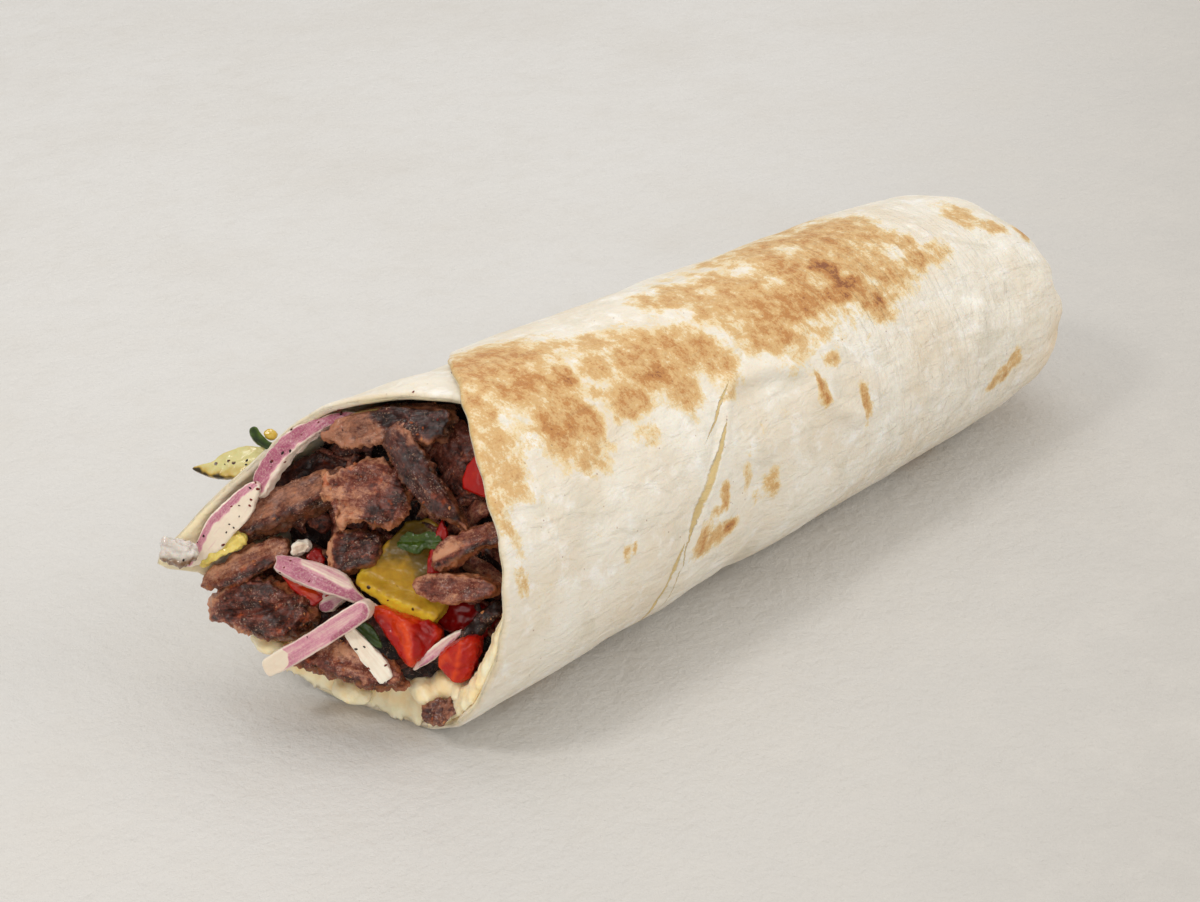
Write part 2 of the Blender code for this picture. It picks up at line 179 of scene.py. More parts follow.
@dataclass(frozen=True)
class Roll:
    """The roll's own shape: X runs along it, 0 degrees is the near side, 90 the top, and angles run on.

    Attributes:
        mouth_radius: Outer radius at X = 0.
        tail_radius: Outer radius at the closed end.
        length: X of the closed end's tip.
        end_depth: How far the closed end takes to round off.
        end_power: How blunt it is; 1 is round, and less is blunter.
        rest_squash: How far the underside is pressed in by the roll's weight.
        rest_plane: Height of the plane that it is pressed flat on.
        bread: How thick the bread is.
        pitch: How far one turn of the sheet lies outside the one before.
        sheet_start: Angle where the sheet begins, inside.
        sheet_end: Angle where it ends, outside.
        mouth_turn: Angle at which the sheet is the roll's outer skin.
        droop: How far the top of the closed end sinks.
        droop_run: How far before the shoulder it starts to sink.
        edge: X of the bread's front edge at each angle, as (angle, x) points.
    """

    mouth_radius: float = 35.6
    tail_radius: float = 30.0
    length: float = 202.0
    end_depth: float = 34.0
    end_power: float = 0.75
    rest_squash: float = 1.2
    rest_plane: float = 1.0
    bread: float = 1.8
    pitch: float = 2.1
    sheet_start: float = 60.0
    sheet_end: float = 580.0
    mouth_turn: float = 455.0
    droop: float = 4.2
    droop_run: float = 16.0
    edge: Line = (
        (60, 8), (77, 4.5), (91, -1.5), (101, -4.5), (112, -9.5), (132, -13.5), (148, -17.5), (160, -25), (172, -35),
        (182, -43), (192, -34), (206, -29), (236, -24), (262, -18), (290, -15), (325, -18), (360, -15.2),
        (388, -11.6), (415, -6.6), (437, 1.6), (455, 9), (480, 22), (510, 44), (540, 78), (562, 120),
        (580, 165),
    )

    @property
    def shoulder(self) -> float:
        """X where the closed end starts to round off."""
        return self.length - self.end_depth

    def rim(self, angle: float) -> float:
        """X of the bread's front edge at this angle."""
        return through(self.edge, angle)

    def radius(self, x: float) -> float:
        """Outer radius of the roll at X, before the closed end rounds it off."""
        return self.mouth_radius + (self.tail_radius - self.mouth_radius) * x / self.length

    def slump(self, x: float) -> float:
        """How far the top of the closed end sinks at X."""
        return self.droop * smoothstep(self.shoulder - self.droop_run, self.length, x)

    def inset(self, angle: float) -> float:
        """Depth of the sheet's middle below the roll's outer skin, which shrinks as the sheet winds out."""
        return self.bread / 2 + self.pitch * (self.mouth_turn - angle) / 360

    def point(self, angle: float, station: float, inset: float, floor: float) -> Vector:
        """A point of the roll.

        Args:
            angle: Degrees about the roll.
            station: X as far as the shoulder, and past it the share of the end's quarter turn.
            inset: Depth below the outer skin.
            floor: How high the point must stay above the plane that the wrap is pressed flat on.

        Returns:
            The point in the roll's frame, in millimetres.
        """
        turn = math.radians(angle)
        if station <= self.shoulder:
            x, radius = station, self.radius(station) - inset
        else:
            bend = math.radians(90) * (station - self.shoulder) / self.end_depth
            x = self.shoulder + (self.end_depth - inset) * math.sin(bend)
            radius = (self.radius(self.shoulder) - inset) * math.cos(bend) ** self.end_power
        centre = self.radius(min(station, self.shoulder)) - self.rest_squash
        z = centre + radius * math.sin(turn)
        return Vector((x, -radius * math.cos(turn), max(z, floor + self.rest_plane)))

    def origin(self) -> Vector:
        """Where the roll's own origin lies in the row frame, worked out from the bread's solid.

        Returns:
            The place, in metres.
        """
        low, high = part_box("flatbread")
        tip = self.shoulder + self.end_depth + self.pitch * (self.sheet_end - self.mouth_turn) / 360
        near = self.radius(self.rim(360)) - self.inset(360) + self.bread / 2
        return Vector((high[0] - tip * MM, low[1] + near * MM, -self.rest_plane * MM))


ROLL = Roll()
ORIGIN = ROLL.origin()
FIRST_TURN = np.arange(60, 421)  # angles of the sheet's first turn, which the filling lies in
RIMS = np.array([ROLL.rim(angle) for angle in FIRST_TURN])
LIP = (2.5, 2.0)  # how far outside the bread's edge the filling starts to be held in, and over what run
UNDER = 0.4  # the least gap between the filling and the bread that it rests on


def tucked(table: np.ndarray, clear: float = 0.8) -> np.ndarray:
    """Pulls places that would pierce the bread back inside it.

    Args:
        table: Places in the roll's frame, in millimetres.
        clear: How far inside the bread they must stay.

    Returns:
        The places, moved where need be.
    """
    x, y, z = table.T
    radius = ROLL.radius(x)
    centre = radius - ROLL.rest_squash
    angle = (np.degrees(np.arctan2(z - centre, -y)) - FIRST_TURN[0]) % 360 + FIRST_TURN[0]
    rim = np.interp(angle, FIRST_TURN, RIMS)
    limit = radius - ROLL.inset(angle) - ROLL.bread / 2 - clear
    held = np.clip((x - rim + LIP[0]) / LIP[1], 0, 1)
    reach = np.hypot(y, z - centre)
    share = 1 - np.clip(reach - limit, 0, None) * held / reach
    lowest = np.where(held > 0.5, ROLL.rest_plane + ROLL.bread + UNDER, ROLL.rest_plane)
    return np.stack([x, y * share, np.maximum(centre + (z - centre) * share, lowest)], axis=1)


def row_place(place: Vector) -> Vector:
    """Turns a place in the roll's frame, in millimetres, into one in the row frame, in metres."""
    return place * MM + ORIGIN


# ---- Materials ----


class Painter:
    """Builds one material's nodes, from coordinates through patterns to the shader."""

    def __init__(self, name: str) -> None:
        """Starts a material with an empty Principled shader.

        Args:
            name: The material's name.
        """
        self.material = bpy.data.materials.new(name)
        self.material.use_nodes = True
        self.tree = self.material.node_tree
        self.shader = self.tree.nodes["Principled BSDF"]

    def node(self, kind: str, output: str | int, inputs: dict[str | int, object], **settings: object) -> NodeSocket:
        """Adds a node, sets its properties and feeds its inputs.

        Args:
            kind: The node's type.
            output: Name or number of the output that is wanted.
            inputs: A value or a socket for each input, by the input's name or number.
            **settings: The node's properties.

        Returns:
            The output socket.
        """
        made = self.tree.nodes.new(kind)
        for key, value in settings.items():
            setattr(made, key, value)
        for key, value in inputs.items():
            self.feed(made.inputs[key], value)
        return made.outputs[output]

    def feed(self, socket: NodeSocket, value: object) -> None:
        """Links a socket into another, or sets its value.

        Args:
            socket: The input.
            value: A socket, a number or a row of numbers.
        """
        if isinstance(value, NodeSocket):
            self.tree.links.new(value, socket)
        elif isinstance(value, tuple) and len(value) == 3 and socket.type == "RGBA":
            socket.default_value = (*linear(value), 1)
        else:
            socket.default_value = value

    def place(self) -> NodeSocket:
        """The place on the object, in metres."""
        return self.node("ShaderNodeTexCoord", "Object", {})

    def vector(self, name: str) -> NodeSocket:
        """A vector attribute of the mesh."""
        return self.node("ShaderNodeAttribute", "Vector", {}, attribute_name=name)

    def factor(self, name: str) -> NodeSocket:
        """A number attribute of the mesh."""
        return self.node("ShaderNodeAttribute", "Fac", {}, attribute_name=name)

    def scaled(self, vector: object, scale: Triple) -> NodeSocket:
        """The vector, stretched along each axis."""
        return self.node("ShaderNodeMapping", "Vector", {"Vector": vector, "Scale": scale})

    def part(self, vector: object, axis: str) -> NodeSocket:
        """One component of a vector."""
        return self.node("ShaderNodeSeparateXYZ", axis, {0: vector})

    def noise(
        self, vector: object, scale: float, detail: float = 3, rough: float = 0.55, warp: float = 0
    ) -> NodeSocket:
        """Cloudy noise from 0 to 1.

        Args:
            vector: Coordinates.
            scale: Size of the pattern; larger is finer.
            detail: How many finer layers it has.
            rough: How strong the finer layers are.
            warp: How much it distorts itself.

        Returns:
            The noise's value socket.
        """
        inputs = {"Vector": vector, "Scale": scale, "Detail": detail, "Roughness": rough, "Distortion": warp}
        return self.node("ShaderNodeTexNoise", "Fac", inputs)

    def cells(self, vector: object, scale: float) -> NodeSocket:
        """Distance to the nearest of scattered points."""
        return self.node("ShaderNodeTexVoronoi", "Distance", {"Vector": vector, "Scale": scale}, feature="F1")

    def maths(self, operation: str, first: object, second: object = 0.0) -> NodeSocket:
        """Arithmetic on two numbers."""
        return self.node("ShaderNodeMath", 0, {0: first, 1: second}, operation=operation)

    def sway(self, value: object, pattern: object, strength: float) -> NodeSocket:
        """A number, raised where a pattern is above a half and lowered where it is below.

        Args:
            value: The number.
            pattern: The pattern, from 0 to 1.
            strength: How far the number moves from the pattern's lowest to its highest.

        Returns:
            The moved number.
        """
        return self.maths("ADD", value, self.maths("MULTIPLY", self.maths("SUBTRACT", pattern, 0.5), strength))

    def spread(self, value: object, low: float, high: float, to: Pair = (0, 1)) -> NodeSocket:
        """The value's share of the way from low to high, held between the two ends of to."""
        inputs = {"Value": value, "From Min": low, "From Max": high, "To Min": to[0], "To Max": to[1]}
        return self.node("ShaderNodeMapRange", "Result", inputs, interpolation_type="SMOOTHSTEP")

    def lay(
        self, base: object, colour: object, pattern: object, low: float, high: float, to: Pair = (0, 1)
    ) -> NodeSocket:
        """Lays a colour over another where a pattern is high.

        Args:
            base: The colour underneath.
            colour: The colour on top.
            pattern: The pattern.
            low: Where the pattern starts to count.
            high: Where it counts in full.
            to: The share of the top colour below low and above high.

        Returns:
            The mixed colour.
        """
        return self.mix(self.spread(pattern, low, high, to), base, colour)

    def frayed(self, name: str, pattern: object, strength: float) -> NodeSocket:
        """A stored distance with a pattern added, so that what follows it has an uneven edge."""
        return self.maths("ADD", self.factor(name), self.maths("MULTIPLY", pattern, strength))

    def ramp(self, value: object, stops: Sequence[tuple[float, Colour]]) -> NodeSocket:
        """Colours along a scale.

        Args:
            value: Where on the scale.
            stops: (place, colour) pairs in order.

        Returns:
            The colour socket.
        """
        shown = self.node("ShaderNodeValToRGB", "Color", {"Fac": value})
        elements = shown.node.color_ramp.elements
        while len(elements) < len(stops):
            elements.new(1.0)
        for element, (place, colour) in zip(elements, stops):
            element.position = place
            element.color = (*linear(colour), 1)
        return shown

    def mix(self, share: object, first: object, second: object) -> NodeSocket:
        """One colour laid over another."""
        return self.node("ShaderNodeMix", 2, {0: share, 6: first, 7: second}, data_type="RGBA", blend_type="MIX")

    def bumps(self, *layers: tuple[object, float]) -> NodeSocket:
        """A bumpy normal.

        Args:
            *layers: (pattern, depth in millimetres) pairs, each laid over those before it.

        Returns:
            The normal socket.
        """
        normal = None
        for height, depth in layers:
            inputs = {"Strength": 1.0, "Distance": depth * MM, "Height": height}
            if normal is not None:
                inputs["Normal"] = normal
            normal = self.node("ShaderNodeBump", "Normal", inputs)
        return normal

    def finish(
        self,
        base: object,
        rough: object,
        specular: float,
        normal: NodeSocket,
        depth: tuple[float, Triple, float] | None = None,
        coat: tuple[object, float] | None = None,
        wet: NodeSocket | None = None,
    ) -> Material:
        """Feeds the shader.

        Args:
            base: Its colour.
            rough: Its roughness.
            specular: Its level of reflection.
            normal: Its bumps.
            depth: Weight, radii and reach in millimetres of the light that spreads below the surface.
            coat: Weight and roughness of the wet coat.
            wet: Bumps of that coat.

        Returns:
            The finished material.
        """
        settings = {"Base Color": base, "Roughness": rough, "Specular IOR Level": specular, "Normal": normal}
        if depth is not None:
            weight, radii, reach = depth
            settings |= {"Subsurface Weight": weight, "Subsurface Radius": radii, "Subsurface Scale": reach * MM}
        if coat is not None:
            settings |= {"Coat Weight": coat[0], "Coat Roughness": coat[1]}
        if wet is not None:
            settings["Coat Normal"] = wet
        for name, value in settings.items():
            self.feed(self.shader.inputs[name], value)
        return self.material


@dataclass(frozen=True)
class BreadFinish:
    """Soft floury flatbread, pale with toasted patches where it met the griddle."""

    pale: Colour = (232, 226, 213)
    shade: Colour = (224, 212, 192)
    flour: Colour = (243, 241, 236)
    cool: Colour = (213, 205, 187)
    faint: Colour = (227, 204, 158)
    toast: Colour = (209, 170, 114)
    brown: Colour = (184, 127, 68)
    dark: Colour = (132, 76, 44)
    ochre: Colour = (202, 176, 118)
    inner: Colour = (232, 218, 180)
    tan: Colour = (224, 200, 166)

    def material(self) -> Material:
        """Builds the bread's material from the sheet, toast, gap, reach and rim attributes.

        Returns:
            The material.
        """
        p = Painter("toasted flatbread")
        sheet = p.vector("sheet")
        side = p.part(sheet, "Z")

        grains = p.noise(sheet, 0.9, 3, 0.6)
        base = p.lay(self.pale, self.shade, p.noise(sheet, 0.05, 4, 0.6), 0.35, 0.7)
        base = p.lay(base, self.flour, p.noise(sheet, 0.16, 5, 0.65), 0.5, 0.7, (0, 0.7))
        thin = p.noise(p.scaled(sheet, (0.1, 0.07, 1)), 1.0, 5, 0.68, 0.5)
        base = p.lay(base, self.cool, thin, 0.52, 0.68, (0, 0.7))

        # Painted shade: the low part of the closed end is tinted a darker tan, where that end lies in shade.
        tip = p.spread(p.part(sheet, "Y"), 168, 184, (0, 0.7))
        under = p.spread(p.part(p.place(), "Z"), 22 * MM, 40 * MM, (1, 0))
        base = p.mix(p.maths("MULTIPLY", tip, under), base, self.tan)

        blotches = p.spread(p.noise(p.scaled(sheet, (0.3, 0.34, 1)), 1.0, 5, 0.66, 0.3), 0.3, 0.62)
        fine = p.noise(sheet, 1.7, 3, 0.75)
        pores = p.noise(sheet, 3.6, 2, 0.6)
        wide = p.noise(sheet, 0.14, 4, 0.62)
        gaps = p.maths("MULTIPLY", p.maths("SUBTRACT", 1.0, blotches), 0.55)
        toast = p.maths("SUBTRACT", p.maths("MULTIPLY", p.factor("toast"), 1.12), gaps)
        for pattern, strength in ((fine, 0.95), (pores, 0.5), (wide, 0.8)):
            toast = p.sway(toast, pattern, strength)
        for colour, low, high, most in (
            (self.faint, 0.05, 0.4, 0.85), (self.toast, 0.36, 0.72, 0.95),
            (self.brown, 0.76, 1.2, 0.95), (self.dark, 1.25, 1.55, 0.9),
        ):
            base = p.lay(base, colour, toast, low, high, (0, most))

        specks = p.spread(p.cells(sheet, 0.42), 0.05, 0.11, (0.6, 0))
        chosen = p.spread(p.noise(sheet, 0.2, 2), 0.5, 0.6)
        base = p.mix(p.maths("MULTIPLY", specks, chosen), base, self.dark)

        gap, reach = p.vector("gap"), p.vector("reach")
        line: object = 0.0
        for axis in "XYZ":
            off = p.maths("ABSOLUTE", p.maths("ADD", p.part(gap, axis), p.maths("SUBTRACT", grains, 0.5)))
            share = p.maths("DIVIDE", off, p.part(reach, axis))
            line = p.maths("MAXIMUM", line, p.spread(share, 0.6, 1.3, (0.92, 0)))
        base = p.mix(line, base, self.ochre)
        rim = p.frayed("rim", p.noise(sheet, 0.25, 3), 1.2)
        base = p.lay(base, self.ochre, rim, 0.3, 1.7, (0.45, 0))
        inside = p.lay(self.inner, self.shade, p.noise(sheet, 0.12, 4), 0.4, 0.65)
        base = p.mix(side, inside, base)

        wrinkles = p.noise(p.scaled(sheet, (0.3, 0.12, 1)), 1.0, 3, 0.55, 0.5)
        pinched = p.noise(p.scaled(sheet, (0.1, 0.4, 1)), 1.0, 3, 0.5, 1.4)
        rear = p.spread(p.part(sheet, "Y"), 84, 120)
        normal = p.bumps(
            (wrinkles, 0.8), (p.maths("MULTIPLY", pinched, rear), 0.9), (thin, 0.5),
            (p.noise(sheet, 0.55, 4, 0.6), 0.16), (grains, 0.08), (line, -0.25),
        )
        rough = p.spread(toast, 0.1, 0.8, (0.7, 0.48))
        return p.finish(base, rough, 0.35, normal, (0.12, (1.0, 0.6, 0.35), 1.6))


@dataclass(frozen=True)
class HummusFinish:
    """Thick pale hummus, moist on its soft peaks."""

    pale: Colour = (255, 239, 204)
    deep: Colour = (255, 220, 166)

    def material(self) -> Material:
        """Builds the hummus's material.

        Returns:
            The material.
        """
        p = Painter("hummus")
        place = p.place()
        base = p.lay(self.pale, self.deep, p.noise(place, 160, 4, 0.6), 0.35, 0.68)
        normal = p.bumps((p.noise(place, 330, 4, 0.6), 0.5), (p.noise(place, 1500, 3, 0.6), 0.12))
        return p.finish(base, 0.42, 0.5, normal, (0.5, (1.0, 0.8, 0.5), 3), (0.15, 0.25))


@dataclass(frozen=True)
class MeatFinish:
    """Roasted shaved meat: fibres, browned crust and wet juice.

    Attributes:
        name: The material's name.
        crust: Colour of the darkest roasted parts.
        flesh: Colour of the body of the meat.
        fibre: Colour of pale torn fibres.
        ember: Warm colour of juice and spice on it.
        gloss: Weight of the wet coat.
        rim: How strongly its cut edges are tanned.
        edge: Colour of those edges.
        glint: Colour of painted glints, fine pale specks that stand in for the sparkle of its wet surface.
    """

    name: str
    crust: Colour
    flesh: Colour
    fibre: Colour
    ember: Colour
    gloss: float
    rim: float = 0.0
    edge: Colour = (176, 108, 60)
    glint: Colour = (208, 170, 142)

    def material(self) -> Material:
        """Builds the meat's material from the local and shade attributes.

        Returns:
            The material.
        """
        p = Painter(self.name)
        local = p.vector("local")
        place = p.place()
        strands = p.noise(p.scaled(local, (0.22, 1.3, 1.3)), 1.0, 5, 0.7, 0.6)
        # Besides each piece's tone, the shade attribute holds painted shade: darker in the hollows, lighter on raised
        # spots.
        shade = p.sway(p.factor("shade"), p.noise(place, 190, 4, 0.6), 0.8)
        shade = p.sway(shade, strands, 0.95)
        shade = p.sway(shade, p.noise(place, 1500, 3, 0.75), 1.05)
        base = p.ramp(shade, [(0.05, self.crust), (0.45, self.flesh), (0.98, self.fibre)])
        # Painted highlight: fine pale specks in the glint colour, in patches, stand in for the sparkle of wet meat.
        grains = p.spread(p.noise(place, 2500, 2, 0.6), 0.56, 0.68, (0, 0.5))
        moist = p.spread(p.noise(place, 330, 3), 0.44, 0.6)
        base = p.mix(p.maths("MULTIPLY", grains, moist), base, self.glint)
        rim = p.frayed("inside", p.noise(place, 330, 4, 0.65), 3.4)
        base = p.lay(base, self.edge, rim, 1.3, 2.3, (self.rim, 0))
        base = p.lay(base, self.ember, p.noise(place, 380, 3, 0.6), 0.6, 0.74, (0, 0.55))
        normal = p.bumps((strands, 0.3), (p.noise(place, 1300, 4, 0.7), 0.2))
        wet = p.bumps((strands, 0.25), (p.noise(place, 1250, 3, 0.6), 0.15))
        rough = p.spread(p.noise(place, 600, 3), 0.3, 0.7, (0.4, 0.75))
        juice = p.spread(p.noise(place, 520, 4, 0.7), 0.36, 0.62, (0.04, self.gloss))
        return p.finish(base, rough, 0.16, normal, (0.1, (1.0, 0.3, 0.15), 1.2), (juice, 0.1), wet)


@dataclass(frozen=True)
class OnionFinish:
    """Raw onion, glassy and finely veined along its length, with its coloured skin on one edge."""

    name: str = "red onion"
    skin: Colour = (156, 58, 98)
    blush: Colour = (206, 136, 156)
    white: Colour = (230, 214, 192)
    rind: Colour = (240, 226, 208)

    def material(self) -> Material:
        """Builds the onion's material from the local and shade attributes.

        Returns:
            The material.
        """
        p = Painter(self.name)
        local = p.vector("local")
        veins = p.noise(p.scaled(local, (0.06, 1.6, 1.6)), 1.0, 4, 0.6, 0.2)
        drift = p.noise(p.scaled(local, (0.12, 0.5, 0.5)), 1.0, 3)
        band = p.sway(p.factor("shade"), drift, 0.8)
        band = p.sway(band, veins, 0.9)
        base = p.ramp(band, [(0.1, self.white), (0.45, self.blush), (0.9, self.skin)])
        base = p.lay(base, self.white, p.noise(p.place(), 2400, 3, 0.75), 0.4, 0.75, (0.04, 0.42))
        rim = p.frayed("inside", drift, 0.5)
        base = p.lay(base, self.rind, rim, 0.36, 0.66, (0.7, 0))
        normal = p.bumps((veins, 0.14), (p.noise(p.place(), 1500, 3), 0.06))
        return p.finish(base, 0.4, 0.4, normal, (0.3, (1.0, 0.7, 0.7), 1.2), (0.2, 0.15))


@dataclass(frozen=True)
class WetFinish:
    """A wet cut vegetable whose colour runs from flesh to skin with the shade attribute.

    Attributes:
        name: The material's name.
        flesh: Colour of the cut flesh.
        middle: Colour between the two.
        skin: Colour of the skin.
        relief: Height of its small bumps in millimetres.
        coat: Weight of the wet coat.
        specks: Colour of small specks on it, or none.
    """

    name: str
    flesh: Colour
    middle: Colour
    skin: Colour
    relief: float = 0.15
    coat: float = 0.6
    specks: Colour | None = None

    def material(self) -> Material:
        """Builds the vegetable's material.

        Returns:
            The material.
        """
        p = Painter(self.name)
        place = p.place()
        patches = p.noise(place, 260, 4, 0.6)
        shade = p.sway(p.factor("shade"), patches, 0.6)
        base = p.ramp(shade, [(0.1, self.flesh), (0.5, self.middle), (0.9, self.skin)])
        if self.specks:
            dots = p.spread(p.cells(place, 420), 0.16, 0.22, (1, 0))
            few = p.spread(p.noise(place, 190, 2), 0.5, 0.56)
            base = p.mix(p.maths("MULTIPLY", dots, few), base, self.specks)
        normal = p.bumps((p.noise(place, 520, 4, 0.6), self.relief), (p.noise(place, 1800, 2), 0.05))
        return p.finish(base, 0.3, 0.2, normal, (0.25, (1.0, 0.4, 0.2), 1.8), (self.coat, 0.06))


@dataclass(frozen=True)
class FloorFinish:
    """A plain pale table top with a faint cloudiness, and painted shade that darkens it towards the near side and
    towards +X.
    """

    pale: Colour = (213, 211, 208)
    shade: Colour = (205, 201, 195)
    dim: Colour = (186, 182, 176)

    def material(self) -> Material:
        """Builds the floor's material.

        Returns:
            The material.
        """
        p = Painter("pale table")
        place = p.place()
        right, away = p.part(place, "X"), p.part(place, "Y")
        # Painted shade: the floor darkens towards the near side and towards +X, where the studio light falls off.
        across = p.maths("SUBTRACT", p.maths("MULTIPLY", right, 0.7), p.maths("MULTIPLY", away, 1.3))
        base = p.lay(self.pale, self.dim, across, -0.12, 0.34)
        base = p.lay(base, self.dim, p.maths("ADD", right, away), -0.28, 0.3, (0.25, 0))
        base = p.lay(base, self.shade, p.noise(place, 14, 5, 0.6), 0.4, 0.75, (0, 0.5))
        base = p.lay(base, self.shade, p.noise(place, 90, 6, 0.7), 0.45, 0.7, (0, 0.3))
        normal = p.bumps((p.noise(place, 60, 6, 0.65), 1.2), (p.noise(place, 420, 4, 0.65), 0.35))
        return p.finish(base, 0.75, 0.2, normal)


FINISHES: dict[Food, object] = {
    Food.MEAT: MeatFinish("roast meat", (46, 17, 10), (118, 58, 44), (202, 144, 110), (182, 80, 32), 0.9, 0.5),
    Food.DARK_MEAT: MeatFinish("charred meat", (30, 12, 9), (82, 39, 31), (172, 116, 88), (150, 60, 24), 1.0, 0.3),
    Food.ONION: OnionFinish(),
    Food.WHITE_ONION: OnionFinish(
        "white onion", (196, 160, 150), (226, 206, 182), (240, 230, 212), (246, 238, 224)
    ),
    Food.TOMATO: WetFinish("tomato", (212, 68, 16), (172, 20, 10), (124, 8, 6), 0.12, 0.3),
    # Its dark olive skin colour also serves, in part, as painted shadow on the upper part of pepper_yellow.
    Food.PEPPER: WetFinish(
        "yellow pepper", (214, 178, 48), (176, 134, 36), (108, 84, 26), 0.16, 0.02, (60, 34, 16)
    ),
    Food.PICKLE: WetFinish("yellow pickle", (232, 212, 124), (206, 174, 60), (146, 116, 34), 0.3, 0.4),
    Food.CUCUMBER: WetFinish(
        "pickled cucumber", (202, 193, 132), (180, 148, 62), (52, 42, 18), 0.05, 0.15, (60, 18, 12)
    ),
    Food.HERB: WetFinish("green leaf", (88, 108, 30), (48, 68, 16), (26, 38, 10), 0.3, 0.3),
    Food.FAT: WetFinish("garlic sauce", (222, 216, 210), (186, 174, 160), (120, 84, 52), 0.5, 0.9),
}


# ---- Meshes ----


def give(mesh: Mesh, name: str, values: np.ndarray) -> None:
    """Stores a number or a vector for each vertex of a mesh.

    Args:
        mesh: The mesh.
        name: The attribute's name.
        values: One value, or one row of three, for each vertex.
    """
    vector = values.ndim == 2
    made = mesh.attributes.new(name, "FLOAT_VECTOR" if vector else "FLOAT", "POINT")
    made.data.foreach_set("vector" if vector else "value", np.ascontiguousarray(values, np.float32).ravel())


def read_rows(items: bpy_prop_collection, key: str) -> np.ndarray:
    """Reads a row of three numbers from each item of a mesh.

    Args:
        items: The mesh's vertices or vertex normals.
        key: The property that holds the numbers.

    Returns:
        The rows.
    """
    table = np.empty(len(items) * 3, np.float32)
    items.foreach_get(key, table)
    return table.reshape(-1, 3).astype(float)


def vertex_table(mesh: Mesh) -> np.ndarray:
    """The mesh's vertices as an array of rows, in metres."""
    return read_rows(mesh.vertices, "co")


def normal_table(mesh: Mesh) -> np.ndarray:
    """The mesh's vertex normals as an array of rows."""
    return read_rows(mesh.vertex_normals, "vector")


def put_vertices(mesh: Mesh, table: np.ndarray) -> None:
    """Moves the mesh's vertices to the rows of an array."""
    mesh.vertices.foreach_set("co", np.ascontiguousarray(table, np.float32).ravel())
    mesh.update()


def tuck_in(mesh: Mesh, clear: float) -> None:
    """Pulls a mesh in the row frame back inside the bread, by at least clear millimetres."""
    put_vertices(mesh, tucked((vertex_table(mesh) - ORIGIN) / MM, clear) * MM + np.array(ORIGIN))


def raise_surface(mesh: Mesh, height: Callable[[Vector], float]) -> np.ndarray:
    """Moves each vertex out along its normal.

    Args:
        mesh: The mesh, in metres.
        height: How far to move it in millimetres, from its place in metres.

    Returns:
        How far each vertex was moved, in millimetres.
    """
    table = vertex_table(mesh)
    rise = np.array([height(Vector(row)) for row in table])
    put_vertices(mesh, table + normal_table(mesh) * rise[:, None] * MM)
    return rise


def mark(mesh: Mesh, local: np.ndarray, shade: np.ndarray, inside: np.ndarray | None = None) -> None:
    """Stores what the finishes of the filling read.

    Args:
        mesh: The mesh.
        local: Each vertex's place on its own piece's axes, in millimetres.
        shade: How far it leans to the last of the finish's colours; for roughened meat it also holds painted shade,
            darker in the hollows.
        inside: How far it is from the cut edges, in millimetres; left out where there are none.
    """
    give(mesh, "local", local)
    give(mesh, "shade", shade)
    give(mesh, "inside", np.full(len(local), WELL_INSIDE) if inside is None else inside)


def put_in_scene(name: str, data: ID, place: Vector | None = None, back: Vector | None = None) -> Object:
    """Adds an object to the scene.

    Args:
        name: Its name.
        data: Its mesh, light or camera.
        place: Where it stands, in metres; left out for the origin.
        back: The way its back is turned, for a light or a camera.

    Returns:
        The new object.
    """
    made = bpy.data.objects.new(name, data)
    if place is not None and back is not None:
        made.location = place
        made.rotation_euler = back.to_track_quat("Z", "Y").to_euler()
    bpy.context.scene.collection.objects.link(made)
    return made


def show(name: str, mesh: Mesh, material: Material, slot: str, nodes: Iterable[str] = ()) -> Object:
    """Puts a finished mesh in the scene as a piece of the wrap.

    Args:
        name: The piece's name.
        mesh: Its mesh, in the row frame.
        material: Its material.
        slot: The record's material slot for the piece's finish; not used.
        nodes: The CAD nodes that it stands for.

    Returns:
        The new object.
    """
    mesh.materials.clear()
    mesh.materials.append(material)
    mesh.shade_smooth()
    piece = put_in_scene(name, mesh)
    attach(piece, BODY)
    if nodes:
        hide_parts(*nodes)
    LOG.info("%s: %d faces", name, len(mesh.polygons))
    return piece


def remeshed(mesh: Mesh, voxel: float, rounds: int = 2) -> Mesh:
    """An even, rounded copy of a closed mesh.

    Args:
        mesh: The mesh to copy.
        voxel: Size of the new faces in millimetres.
        rounds: How many times it is smoothed.

    Returns:
        The new mesh.
    """
    bm = bmesh.new()
    bm.from_mesh(mesh)
    bmesh.ops.remove_doubles(bm, verts=bm.verts, dist=0.002 * MM)
    copy = bpy.data.meshes.new("remesh")
    bm.to_mesh(copy)
    bm.free()
    carrier = put_in_scene("remesh", copy)
    grid = carrier.modifiers.new("grid", "REMESH")
    grid.mode = "VOXEL"
    grid.voxel_size = voxel * MM
    soften = carrier.modifiers.new("soften", "SMOOTH")
    soften.factor = 0.5
    soften.iterations = rounds
    graph = bpy.context.evaluated_depsgraph_get()
    made = bpy.data.meshes.new_from_object(carrier.evaluated_get(graph))
    bpy.data.objects.remove(carrier)
    return made


def slab(across: int, along: int) -> BMesh:
    """A slab with X and Y from -0.5 to 0.5 and Z from 0 to 1, with a grid of cells on both faces.

    Args:
        across: Cells along Y.
        along: Cells along X.

    Returns:
        The slab.
    """
    bm = bmesh.new()
    bmesh.ops.create_grid(bm, x_segments=along, y_segments=across, size=0.5)
    top = bmesh.ops.extrude_face_region(bm, geom=bm.faces[:])["geom"]
    bmesh.ops.translate(bm, vec=(0, 0, 1), verts=[v for v in top if isinstance(v, BMVert)])
    return bm


